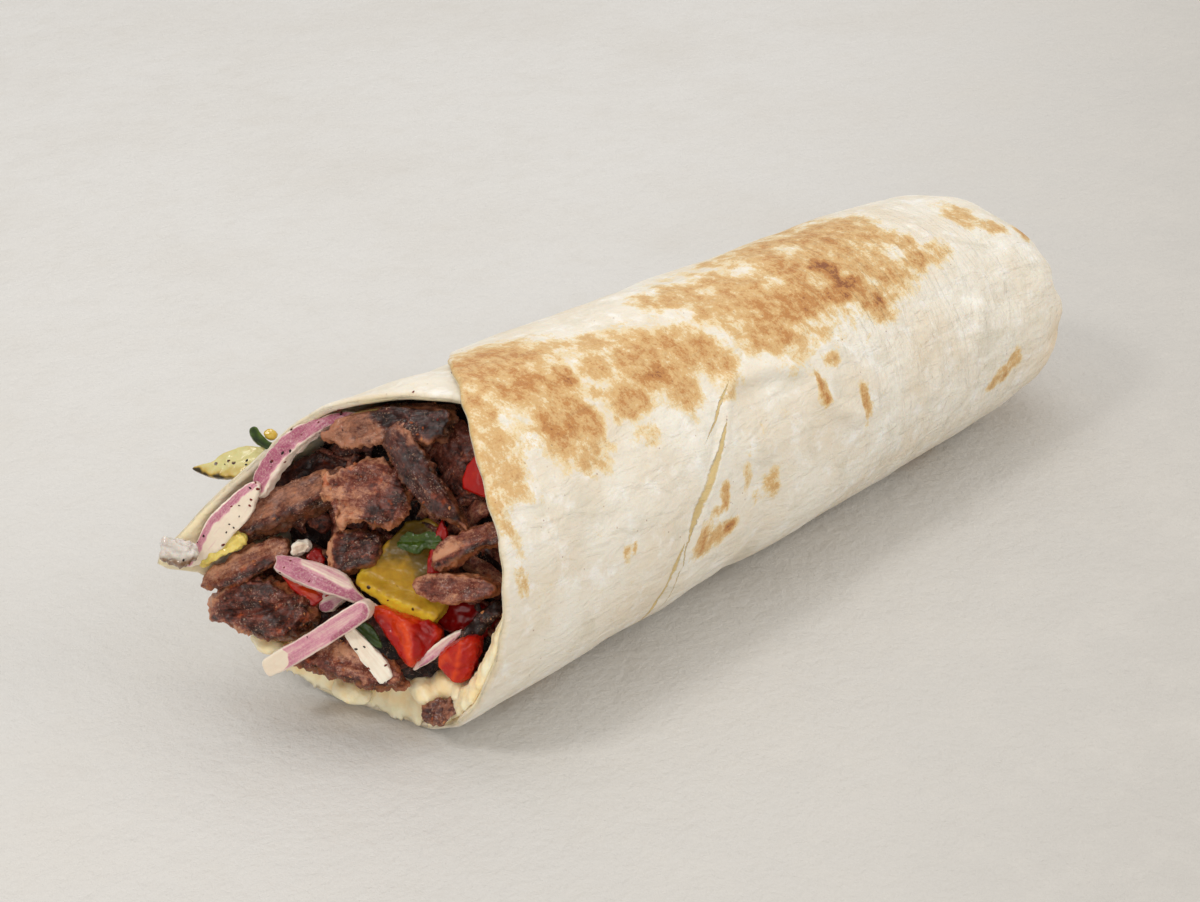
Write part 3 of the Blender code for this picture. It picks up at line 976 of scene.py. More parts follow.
def mesh_from(bm: BMesh, name: str) -> Mesh:
    """Turns a bmesh into a mesh whose faces point outwards.

    Args:
        bm: The bmesh, which is used up.
        name: The mesh's name.

    Returns:
        The mesh.
    """
    bmesh.ops.recalc_face_normals(bm, faces=bm.faces)
    if bm.calc_volume(signed=True) < 0:
        bmesh.ops.reverse_faces(bm, faces=bm.faces)
    mesh = bpy.data.meshes.new(name)
    bm.to_mesh(mesh)
    bm.free()
    return mesh


@dataclass(frozen=True)
class Patch:
    """A toasted patch on the bread: its middle, its reach along and around the roll, and how brown it is."""

    x: float
    angle: float
    along: float
    around: float
    brown: float


PATCHES = tuple(Patch(*row) for row in (
    (16, 86, 18, 12, 1.0), (9, 70, 18, 10, 0.98), (17, 60, 10, 13, 1.02), (-2, 54, 7, 10, 0.8),
    (18, 73, 5, 3, 1.25), (27, 72, 3, 4, 1.2), (22, 87, 5, 3, 1.12), (11, 74, 3, 3, 1.15), (24, 52, 4, 5, 1.1),
    (27, 97, 5, 2, 0.9), (33, 88, 4, 3, 0.85), (29, 79, 3, 2, 0.85), (35, 69, 6, 4, 0.95), (43, 63, 7, 8, 1.05),
    (37, 54, 8, 5, 1.0), (30, 61, 2, 2, 0.9), (55, 66, 14, 9, 0.98), (64, 58, 6, 9, 0.98), (52, 52, 6, 6, 1.0),
    (48, 61, 5, 4, 1.2), (43, 81, 7, 5, 0.8), (36, 85, 3, 2, 0.75), (31, 49, 2, 1.5, 0.8), (74, 90, 14, 6, 0.85),
    (84, 78, 16, 14, 0.95), (86, 60, 10, 11, 1.0), (103, 72, 16, 16, 1.0), (112, 90, 22, 16, 0.92),
    (128, 88, 16, 20, 0.92), (128, 66, 9, 12, 0.9), (118, 53, 6, 7, 1.1), (98, 60, 14, 5, 1.15),
    (110, 60, 8, 4, 1.3), (113, 73, 5, 5, 1.5), (105, 78, 4, 2, 1.3), (115, 62, 4, 3, 1.4), (120, 50, 2, 2, 1.5),
    (86, 53, 5, 5, 1.1), (141, 72, 5, 6, 0.85), (140, 60, 6, 3, 0.95), (148, 58, 5, 4, 0.7),
    (169, 76, 5, 7, 0.75), (174, 65, 4, 4, 0.95), (182, 60, 3, 4, 1.0), (192, 40, 2, 4, 0.8),
    (163, -2, 3, 3, 1.0), (159, -7, 3, 3, 1.0), (155, -10, 3, 2, 0.85), (96, 36, 2.5, 2, 0.95),
    (89, 28, 1.6, 4, 1.1), (103, 16, 2, 5, 1.05), (53, 5, 1.6, 4, 0.9), (50, 2, 2, 1.5, 0.7), (61, 10, 2, 4, 0.5),
    (64, -1, 1.5, 3, 0.55), (69.6, 1, 3, 3.5, 0.72), (47, -9, 5, 4.5, 1.0), (52, -8, 4, 3.5, 0.95),
    (54.5, -8, 2.2, 2.2, 1.35), (20.6, 5, 1.6, 2.4, 0.75), (23, 6, 1, 2, 0.7), (36, 40, 4, 3, 0.55),
    (68, 24, 1.5, 2, 0.5), (-8, 40, 2.5, 10, 0.75), (-9, 15, 2, 4, 0.55), (50, 144, 13, 9, 0.95),
    (66, 153, 13, 6, 1.0), (58, 162, 8, 5, 0.8), (79, 143, 6, 5, 0.85), (110, 159, 9, 8, 0.95),
    (124, 169, 11, 6, 1.0), (131, 158, 6, 7, 0.85), (115, 178, 6, 4, 0.8), (22, 187, 6, 5, 0.85),
    (30, 194, 6, 3, 0.9), (84, 203, 7, 4, 0.85), (96, 209, 7, 4, 0.9), (155, 136, 7, 5, 0.9),
    (166, 144, 5, 6, 0.85), (70, 268, 60, 9, 0.9), (150, 285, 14, 9, 0.85), (10, 290, 12, 6, 0.8),
    (7, 74, 3, 2, -0.8), (2, 70, 3, 3, -0.7), (7, 61, 6, 3.5, -0.9), (17.6, 65, 3, 2, -0.7), (13, 80, 5, 2, -0.4),
    (26, 80, 8, 3, -0.4), (112.7, 91, 4, 3, -0.9), (95, 88, 6, 3, -0.8), (100, 76, 6, 2, -0.8),
    (109, 70, 3, 3, -0.7), (81, 86, 3, 2, -0.8), (61, 78, 9, 2, -0.7), (46, 64, 2, 1.5, -0.5),
    (130, 74, 4, 3, -0.5),
))


@dataclass(frozen=True)
class Fold:
    """A crease or a ridge along a line of points: (x, angle) on the bread, or (u, v) on a cut face."""

    line: Line
    height: float
    width: float


@dataclass(frozen=True)
class Crack:
    """A thin ochre line where the bread was folded, running round the roll.

    Attributes:
        line: Its X at each angle, as (angle, x) points.
        half: Its half width at each angle, as (angle, width) points.
    """

    line: Line
    half: Line


@dataclass
class Flatbread:
    """The rolled sheet of bread, with its folds and toasted patches.

    Attributes:
        around: Cells round the sheet.
        along: Cells from its front edge to the closed end.
        waves: Height of the soft lumps that the filling presses into it.
        inner_share: Share of the cells round it that its inner part takes, which hardly shows.
        inner_end: Angle where that part ends.
        ragged: How uneven the front edge is.
        pinhole: How far short of the closed end's tip the sheet stops.
        flare: How far the lip on the far side leans out.
        flare_at: Angle where it leans out most.
        crown: How far the lip stands up at the top.
        crown_at: Angle where it stands up most.
        settle: How far the closed end sinks at its top and pushes out at its foot.
        pleats: How many gathers the closed end has.
        patches: Toasted patches.
        cracks: The three thin lines on the near side.
        folds: Softer ridges.
        finish: What it is dressed with.
    """

    around: int = 300
    along: int = 165
    waves: float = 0.85
    inner_share: float = 0.2
    inner_end: float = 220.0
    ragged: float = 0.7
    pinhole: float = 0.15
    flare: float = 2.0
    flare_at: float = 168.0
    crown: float = 1.1
    crown_at: float = 92.0
    settle: float = 2.2
    pleats: int = 13
    patches: tuple[Patch, ...] = PATCHES
    cracks: tuple[Crack, ...] = (
        Crack(((24, 47), (31, 51.8), (34, 54.9), (39, 58.4), (46, 63)),
              ((29, 0), (32, 0.3), (37, 0.55), (42, 0.35), (45, 0))),
        Crack(((-8, 39.4), (-2, 40.6), (3, 42.1), (9, 44.3), (14, 47.2), (19, 49.8), (23, 52.3), (27, 54.5),
               (36, 58.6)),
              ((-5, 0.1), (2, 0.5), (8, 0.85), (14, 0.95), (20, 0.8), (25, 0.55), (30, 0.35), (33, 0))),
        Crack(((-60, 34), (-30, 35.7), (-22, 36.5), (-14, 37), (-9, 37.8), (0, 40)),
              ((-60, 0.2), (-30, 0.6), (-20, 0.8), (-12, 0.85), (-7, 0.5), (-3, 0))),
    )
    folds: tuple[Fold, ...] = (
        Fold(((65, 46), (60, 38), (56, 29), (51, 19), (46, 9), (42, -2), (39, -14)), 0.8, 1.5),
        Fold(((58, 36), (52, 25), (46, 15), (42, 5), (39, -8), (36, -30)), -0.5, 1.2),
        Fold(((64, 45), (70, 43.5), (76, 43), (82, 40), (86, 36), (88, 27), (92, 18), (100, 10)), 1.5, 2.2),
        Fold(((66, 39), (72, 39.5), (78, 38.5), (84, 33)), -0.7, 2.4),
        Fold(((130, 30), (133, 22), (131, 10), (127, 2)), 0.4, 1.4),
        Fold(((101, 44), (106, 34), (113, 22), (118, 8)), -0.5, 1.6),
        Fold(((108, 36), (107, 26), (105, 9)), 0.4, 1.4),
        Fold(((120, 38), (126, 26), (128, 12)), -0.35, 1.5),
        Fold(((142, 14), (144, 2), (141, -10)), 0.4, 1.6),
        Fold(((150, 75), (154, 55), (153, 34), (147, 14)), 0.5, 3.0),
        Fold(((136, 42), (150, 36), (166, 26)), -0.6, 3.2),
        Fold(((66, 4), (68, -12), (68, -26), (66, -44)), -1.1, 4.5),
        Fold(((30, 30), (31, 10), (28, -12)), 0.5, 5.0),
        Fold(((10, 44), (14, 24), (12, 4)), -0.4, 6.0),
        Fold(((176, 30), (182, 10), (182, -10), (176, -30)), 0.7, 2.2),
        Fold(((186, 24), (190, 8), (190, -10), (184, -26)), -0.8, 2.4),
    )
    finish: BreadFinish = field(default_factory=BreadFinish)

    def angle_at(self, share: float) -> float:
        """The angle at a share of the sheet's cells, from its inner end to its outer one.

        Args:
            share: The share, from 0 to 1.

        Returns:
            Degrees about the roll.
        """
        if share < self.inner_share:
            return ROLL.sheet_start + (self.inner_end - ROLL.sheet_start) * share / self.inner_share
        rest = ROLL.sheet_end - self.inner_end
        return self.inner_end + rest * (share - self.inner_share) / (1 - self.inner_share)

    def lumps(self, x: float, angle: float) -> float:
        """How far the sheet stands out here, the same for every layer of it.

        Args:
            x: How far along the roll.
            angle: Degrees about the roll.

        Returns:
            The height in millimetres.
        """
        turn = math.radians(angle)
        spot = Vector((x / 26, 1.5 * math.cos(turn), 1.5 * math.sin(turn)))
        rise = self.waves * noise(spot + Vector((3.1, 0, 0)))
        rise += 0.35 * self.waves * noise(spot * 3.3 + Vector((9.7, 0, 0)))
        gather = smoothstep(ROLL.shoulder - 6, ROLL.length, x)
        rise += 0.45 * gather * math.sin(self.pleats * turn + 2.0 * noise(spot * 1.7))
        return rise

    def toast(self, x: float, angle: float, outer: bool) -> float:
        """How toasted the bread is here, from 0 to about 1.4.

        Args:
            x: How far along the roll.
            angle: Degrees about the roll.
            outer: Whether this is the sheet's outer face.

        Returns:
            The toastedness.
        """
        if not outer:
            return 0.0
        warp = noise(Vector((x / 9, angle / 14, 5)))
        ripple = noise(Vector((x / 4, angle / 6, 8)))
        most = 0.0
        for patch in self.patches:
            turned = (angle - patch.angle + 180) % 360 - 180
            arc = math.radians(turned) * ROLL.tail_radius * 1.1
            reach = math.hypot((x - patch.x) / patch.along, arc / patch.around)
            if patch.brown < 0:
                reach += 0.9 * warp + 0.8 * ripple
                most += 0.62 * patch.brown * (1 - smoothstep(0.1, 1.4, reach))
            else:
                reach += 0.4 * warp + 0.3 * ripple
                under = min(1.0, max(-1.0, (patch.angle - angle) / patch.around))
                edge = 0.32 - 0.2 * under
                share = 1 - smoothstep(0.94 - edge, 0.96 + edge, reach)
                most = max(most, patch.brown * share * (1 + 0.2 * max(0.0, under) * reach))
        return max(0.0, most)

    def settled(self, place: Vector, angle: float, station: float) -> Vector:
        """Lets the closed end slump, the far lip lean out and the top of the lip stand up.

        Args:
            place: A place on the sheet, in the roll's frame.
            angle: Degrees about the roll.
            station: How far along the sheet it is.

        Returns:
            The place, moved.
        """
        turn = math.radians(angle)
        tail = smoothstep(140, ROLL.length, station)
        place.z -= (0.8 * self.settle * tail + ROLL.slump(station)) * max(0.0, math.sin(turn))
        crest = math.exp(-(((angle % 360 - self.crown_at) / 30) ** 2)) * (1 - smoothstep(5, 45, station))
        place.z += self.crown * crest
        place.x += self.settle * smoothstep(150, ROLL.length, station) * (0.5 - 0.5 * math.sin(turn))
        if angle < 240:
            lean = math.exp(-(((angle - self.flare_at) / 20) ** 2))
            lean *= math.exp(-max(0.0, station - ROLL.rim(angle)) / 14)
            place.y += self.flare * lean
        return place

    def build(self) -> Object:
        """Rolls the sheet up and dresses it.

        Returns:
            The new object.
        """
        bm = slab(self.around, self.along)
        rows: list[tuple[float, float, float, float]] = []
        for vert in bm.verts:
            angle = self.angle_at(vert.co.y + 0.5)
            front = ROLL.rim(angle) + self.ragged * noise(Vector((angle / 9, 2, 0)))
            run = vert.co.x + 0.5
            back = (ROLL.length - self.pinhole - front) * (0.6 * run + 0.4 * run * run)
            outer = vert.co.z > 0.5
            rows.append((angle, front + back, back, 1.0 if outer else 0.0))
        table = np.array(rows)
        arc = np.radians(table[:, 0]) * SHEET_RADIUS
        near_angle = (table[:, 0] + 180) % 360 - 180
        spots = np.stack([table[:, 1], np.radians(near_angle) * SHEET_RADIUS], axis=1)

        def on_sheet(line: Sequence[Pair]) -> list[Pair]:
            """A fold's line in the spots' own units."""
            return [(x, math.radians(angle) * SHEET_RADIUS) for x, angle in line]

        last_turn = table[:, 0] > ROLL.sheet_end - 360
        folded = np.zeros(len(rows))
        for fold in self.folds:
            gap = distance_to_line(spots, on_sheet(fold.line))
            folded += np.where(last_turn, fold.height * np.exp(-((gap / fold.width) ** 2)), 0)
        gaps, reaches = np.full((len(rows), 3), 9.0), np.full((len(rows), 3), 0.001)
        for column, crack in enumerate(self.cracks):
            for index in np.flatnonzero(last_turn & (np.abs(near_angle) < 60)):
                angle = near_angle[index]
                gaps[index, column] = (table[index, 1] - through(crack.line, angle)) * 0.9
                reaches[index, column] = max(0.001, through(crack.half, angle))
        half = ROLL.bread / 2
        toast = np.zeros(len(rows))
        for index, vert in enumerate(bm.verts):
            angle, station, back, outer = rows[index]
            depth = -half if outer else half
            edge = min(1.0, back, (ROLL.sheet_end - angle) / 2.0 + 0.001)
            depth *= max(0.3, math.sqrt(max(0.0, 1 - (1 - edge) ** 2)))
            rise = self.lumps(station, angle) + folded[index]
            place = ROLL.point(angle, station, ROLL.inset(angle) + depth - rise, half + depth)
            vert.co = row_place(self.settled(place, angle, station))
            toast[index] = self.toast(station, angle, bool(outer) and angle > 190)
        mesh = mesh_from(bm, "flatbread")
        give(mesh, "sheet", np.stack([arc, table[:, 1], table[:, 3]], axis=1))
        give(mesh, "toast", toast)
        give(mesh, "gap", gaps)
        give(mesh, "reach", reaches)
        give(mesh, "rim", table[:, 2])
        return show("bread_sheet", mesh, self.finish.material(), "flatbread", ["flatbread"])


@dataclass
class Hummus:
    """The hummus spread inside the bread, low down, which swells out over the bread's edge at the mouth.

    Attributes:
        start: Angle where it begins.
        end: Angle where it ends.
        depth: How thick it is spread.
        ridge: How much thicker it is at the mouth.
        stop: How far before the closed end it stops.
        fade: Degrees over which it thins out at both ends.
        overhang: How far it hangs out over the bread's edge.
        swell: How much of the ridge there is at each angle, as (angle, share) points.
        across: Cells round it.
        along: Cells along it.
        voxel: Size of its faces in millimetres.
        dollops: Loose dollops, as (place, reach) pairs in the roll's frame.
        finish: What both are dressed with.
    """

    start: float = 196.0
    end: float = 372.0
    depth: float = 2.4
    ridge: float = 4.0
    stop: float = 6.0
    fade: float = 24.0
    overhang: float = 1.7
    swell: Line = ((196, 0.1), (212, 0.6), (228, 1), (298, 1), (312, 0.5), (352, 0.35), (372, 0.1))
    across: int = 210
    along: int = 110
    voxel: float = 0.68
    dollops: tuple[tuple[Triple, Triple], ...] = (
        ((-12.6, -16.4, 13.2), (3.4, 4.4, 3.0)), ((-15.5, -13, 11.6), (3.2, 3.8, 2.8)),
        ((-12.4, -20.5, 13), (3.2, 3.6, 3.0)),
        ((-27, 22, 13.5), (3, 5, 2)), ((-12, -25.5, 17), (3, 1.8, 3.4)), ((-11, -28, 24), (2.6, 1.6, 3)),
        ((-21, 4, 7), (3, 5, 2.4)),
    )
    finish: HummusFinish = field(default_factory=HummusFinish)

    def spread(self, material: Material) -> Object:
        """Spreads the hummus.

        Args:
            material: What it is dressed with.

        Returns:
            The new object.
        """
        bm = slab(self.across, self.along)
        back = ROLL.shoulder - self.stop
        for vert in bm.verts:
            angle = self.start + (self.end - self.start) * (vert.co.y + 0.5)
            edge = min(angle - self.start, self.end - angle) / self.fade
            swell = through(self.swell, angle)
            wave = noise(Vector((angle / 8, 0, 3))) + 0.4 * noise(Vector((angle / 3, 4, 3)))
            lip = ROLL.rim(angle)
            front = lip + 1.2 - swell * (self.overhang + wave)
            station = front + (back - front) * (vert.co.x + 0.5) ** 2.4
            spot = Vector((station / 6, angle / 7, 3))
            ribs = 0.4 * noise(Vector((station / 9, angle / 6.5, 6)))
            lumps = 1.3 * noise(spot) + 0.5 * noise(spot * 2.3) + 0.2 * noise(spot * 5)
            near = math.exp(-(((station - front - 3) / 7) ** 2))
            depth = (self.depth + (self.ridge + lumps + ribs) * near * swell) * min(1.0, 0.2 + edge)
            depth *= math.sqrt(min(1.0, (station - front) / 2.6 + 0.04))
            sag = 1 - smoothstep(lip - 1.2, lip + 0.6, station)
            under = ROLL.inset(angle) + ROLL.bread / 2 + 0.1 - sag * (ROLL.bread + 0.1)
            top = depth if vert.co.z > 0.5 else 0.0
            floor = (ROLL.bread + 0.1) * (1 - sag) + top
            vert.co = row_place(ROLL.point(angle, station, under + top, floor))
        mesh = remeshed(mesh_from(bm, "hummus"), self.voxel)
        raise_surface(mesh, lambda spot: 0.45 * noise(spot / MM / 2.4) + 0.22 * noise(spot / MM / 1.1))
        return show("hummus_spread", mesh, material, "hummus", ["hummus"])

    def drop(self, material: Material) -> Object:
        """Drops the loose dollops.

        Args:
            material: What it is dressed with.

        Returns:
            The new object.
        """
        bm = bmesh.new()
        for (x, y, z), (along, across, up) in self.dollops:
            made = bmesh.ops.create_uvsphere(bm, u_segments=36, v_segments=24, radius=1)["verts"]
            for vert in made:
                spot = Vector((vert.co.x * along, vert.co.y * across, vert.co.z * up))
                place = spot + Vector((x, y, z))
                swell = 1 + 0.3 * noise(place / 2.8) + 0.06 * noise(place / 0.9)
                vert.co = row_place(Vector((x, y, z)) + spot * swell)
        mesh = remeshed(mesh_from(bm, "dollops"), 0.3, 6)
        tuck_in(mesh, 0.1)
        return show("hummus_dollops", mesh, material, "hummus")

    def build(self) -> None:
        """Spreads and dresses the hummus."""
        material = self.finish.material()
        self.spread(material)
        self.drop(material)


@dataclass(frozen=True)
class Stripe:
    """A streak on a cut face that leans to the next colour.

    Attributes:
        line: Its (u, v) points, in millimetres.
        half: Its half width.
        lean: How far it moves the colour.
        soft: How far its edge fades, or 0 for the food's usual fade.
    """

    line: Line
    half: float
    lean: float
    soft: float = 0.0


@dataclass(frozen=True)
class Cut:
    """One cut piece of filling, drawn on its own face.

    U runs along the piece from its tail to its tip, V across it, and W out of its face; all in millimetres.

    Attributes:
        node: The CAD node that it stands for, or the name of a small extra piece.
        food: What it is.
        tail: Where U starts, in the roll's frame.
        tip: Where U points to.
        outline: The (u, v) corners of its face, in order round it.
        thick: Its thickness.
        facing: The way its face is turned.
        bow: How far the middle of its length stands out.
        cup: How far its long edges fall back.
        twist: Degrees that the tip is turned from the tail.
        rounds: How many times the outline's corners are rounded off.
        folds: Ridges and creases on its face.
        stripes: Streaks of the next colour; on a few pieces some are painted shade.
        shade: How far it leans to the last of its finish's colours, from 0 to 1.
        fibre: Depth of the grooves along it.
        lumps: Height of its lumps.
        torn: How far its outline is torn.
        voxel: Size of its faces.
        bevel: How far its front edge is rounded.
        free: Whether it may hang out over the bread's edge.
    """

    node: str
    food: Food
    tail: Triple
    tip: Triple
    outline: Line
    thick: float = 3.0
    facing: Triple = TOWARDS_MOUTH
    bow: float = 0.0
    cup: float = 0.0
    twist: float = 0.0
    rounds: int = 1
    folds: tuple[Fold, ...] = ()
    stripes: tuple[Stripe, ...] = ()
    shade: float = 0.5
    fibre: float = 0.05
    lumps: float = 0.5
    torn: float = 0.2
    voxel: float = 0.24
    bevel: float = 0.3
    free: bool = False

    def rounded(self) -> list[Pair]:
        """The outline with its corners cut off as often as rounds says.

        Returns:
            The (u, v) corners in order.
        """
        points = list(self.outline)
        for _ in range(self.rounds):
            cut: list[Pair] = []
            for (ax, ay), (bx, by) in zip(points, points[1:] + points[:1]):
                cut.append((ax * 0.75 + bx * 0.25, ay * 0.75 + by * 0.25))
                cut.append((ax * 0.25 + bx * 0.75, ay * 0.25 + by * 0.75))
            points = cut
        return points

    def blank(self) -> Mesh:
        """The plain slab that the outline encloses, its face at W = 0.

        Returns:
            The slab's mesh, in metres.
        """
        bm = bmesh.new()
        corners = [bm.verts.new((u * MM, v * MM, 0)) for u, v in self.rounded()]
        face = bm.faces.new(corners)
        face.normal_update()
        if face.normal.z < 0:
            face.normal_flip()
        bmesh.ops.solidify(bm, geom=[face], thickness=self.thick * MM)
        if self.bevel:
            front = max(v.co.z for v in bm.verts) - 1e-6
            rim = [e for e in bm.edges if all(v.co.z > front for v in e.verts)]
            bmesh.ops.bevel(
                bm, geom=rim, offset=self.bevel * MM, segments=3, profile=0.5, affect="EDGES", material=-1
            )
        bmesh.ops.triangulate(bm, faces=bm.faces)
        top = max(v.co.z for v in bm.verts)
        bmesh.ops.translate(bm, vec=(0, 0, -top), verts=bm.verts)
        return mesh_from(bm, self.node)

    def relief(self, spot: Vector, edge: float) -> float:
        """How far the surface stands out at a place.

        Args:
            spot: The place along the piece's axes, in millimetres.
            edge: 1 at its outline and 0 well inside it.

        Returns:
            The height in millimetres.
        """
        swells = noise(spot / 3.2) + 0.45 * noise(spot / 1.4) + 0.2 * noise(spot / 0.65)
        lump = self.lumps * swells
        seam = abs(noise(Vector((spot.x / 5, spot.y / 2.4, spot.z / 2.4)) + Vector((5, 1, 2))))
        lump -= 0.45 * self.lumps * max(0.0, 1 - seam / 0.1)
        grain = noise(Vector((spot.x / 4, spot.y / 0.75, spot.z / 0.75)))
        grain += 0.6 * noise(Vector((spot.x / 2, spot.y / 0.4, spot.z / 0.4)))
        groove = self.fibre * (0.25 - abs(grain)) * 0.6
        tear = 1.3 * noise(spot / 2.1 + Vector((7, 7, 7))) + 0.7 * noise(spot / 0.95) - 0.1
        tear += 0.35 * noise(spot / 0.5)
        tear *= self.torn * edge
        return lump + groove + tear

    def build(self, material: Material) -> Object:
        """Shapes and dresses the piece.

        Args:
            material: What it is dressed with.

        Returns:
            The new object.
        """
        mesh = remeshed(self.blank(), self.voxel, 1 if self.bevel < 0.5 else 2)
        local = vertex_table(mesh) / MM
        ring = self.rounded()
        inside = np.abs(distance_to_line(local[:, :2], ring + ring[:1]))
        seed = Vector((sum(map(ord, self.node)) % 89, 0, 0))
        edge = np.clip(1 - inside / TORN_RIM, 0, 1)
        rise = np.array([self.relief(Vector(row) + seed, float(rim)) for row, rim in zip(local, edge)])
        shade = np.full(len(local), self.shade)
        soft, wander = (0.25, 0.3) if self.food in (Food.ONION, Food.WHITE_ONION) else (0.9, 0.9)
        drift = np.array([noise(Vector(row) / 1.3 + Vector((3, 9, 4))) for row in local]) * wander
        for stripe in self.stripes:
            gap = np.abs(distance_to_line(local[:, :2], stripe.line)) + drift
            edge_width = stripe.soft or soft
            share = np.clip((stripe.half + edge_width - gap) / (2 * edge_width), 0, 1)
            shade += stripe.lean * share * share * (3 - 2 * share)
        table = local + normal_table(mesh) * rise[:, None]
        length = max(u for u, _ in self.outline)
        reach = max(abs(v) for _, v in self.outline)
        lift = self.bow * (1 - (2 * table[:, 0] / length - 1) ** 2) - self.cup * (table[:, 1] / reach) ** 2
        for fold in self.folds:
            gap = np.abs(distance_to_line(local[:, :2], fold.line))
            lift += fold.height * np.exp(-((gap / fold.width) ** 2))
        table[:, 2] += lift
        turn = np.radians(self.twist) * (table[:, 0] / length - 0.5)
        v, w = table[:, 1].copy(), table[:, 2] + self.thick / 2
        table[:, 1] = v * np.cos(turn) - w * np.sin(turn)
        table[:, 2] = v * np.sin(turn) + w * np.cos(turn) - self.thick / 2
        tail, tip, facing = Vector(self.tail), Vector(self.tip), Vector(self.facing)
        along = (tip - tail).normalized()
        out = (facing - along * facing.dot(along)).normalized()
        axes = np.array([along, out.cross(along), out])
        middle = np.array(tail) + np.array(out) * self.thick / 2
        placed = table @ axes + middle
        put_vertices(mesh, (placed if self.free else tucked(placed)) * MM + np.array(ORIGIN))
        # Painted shade: on meat, hollows of the relief come out darker and raised spots lighter.
        if self.food in (Food.MEAT, Food.DARK_MEAT):
            shade = shade + 0.45 * rise
        mark(mesh, local + np.array(seed), shade, inside)
        solids = [self.node] if self.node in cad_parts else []
        return show(f"{self.node}_piece", mesh, material, self.food.value, solids)


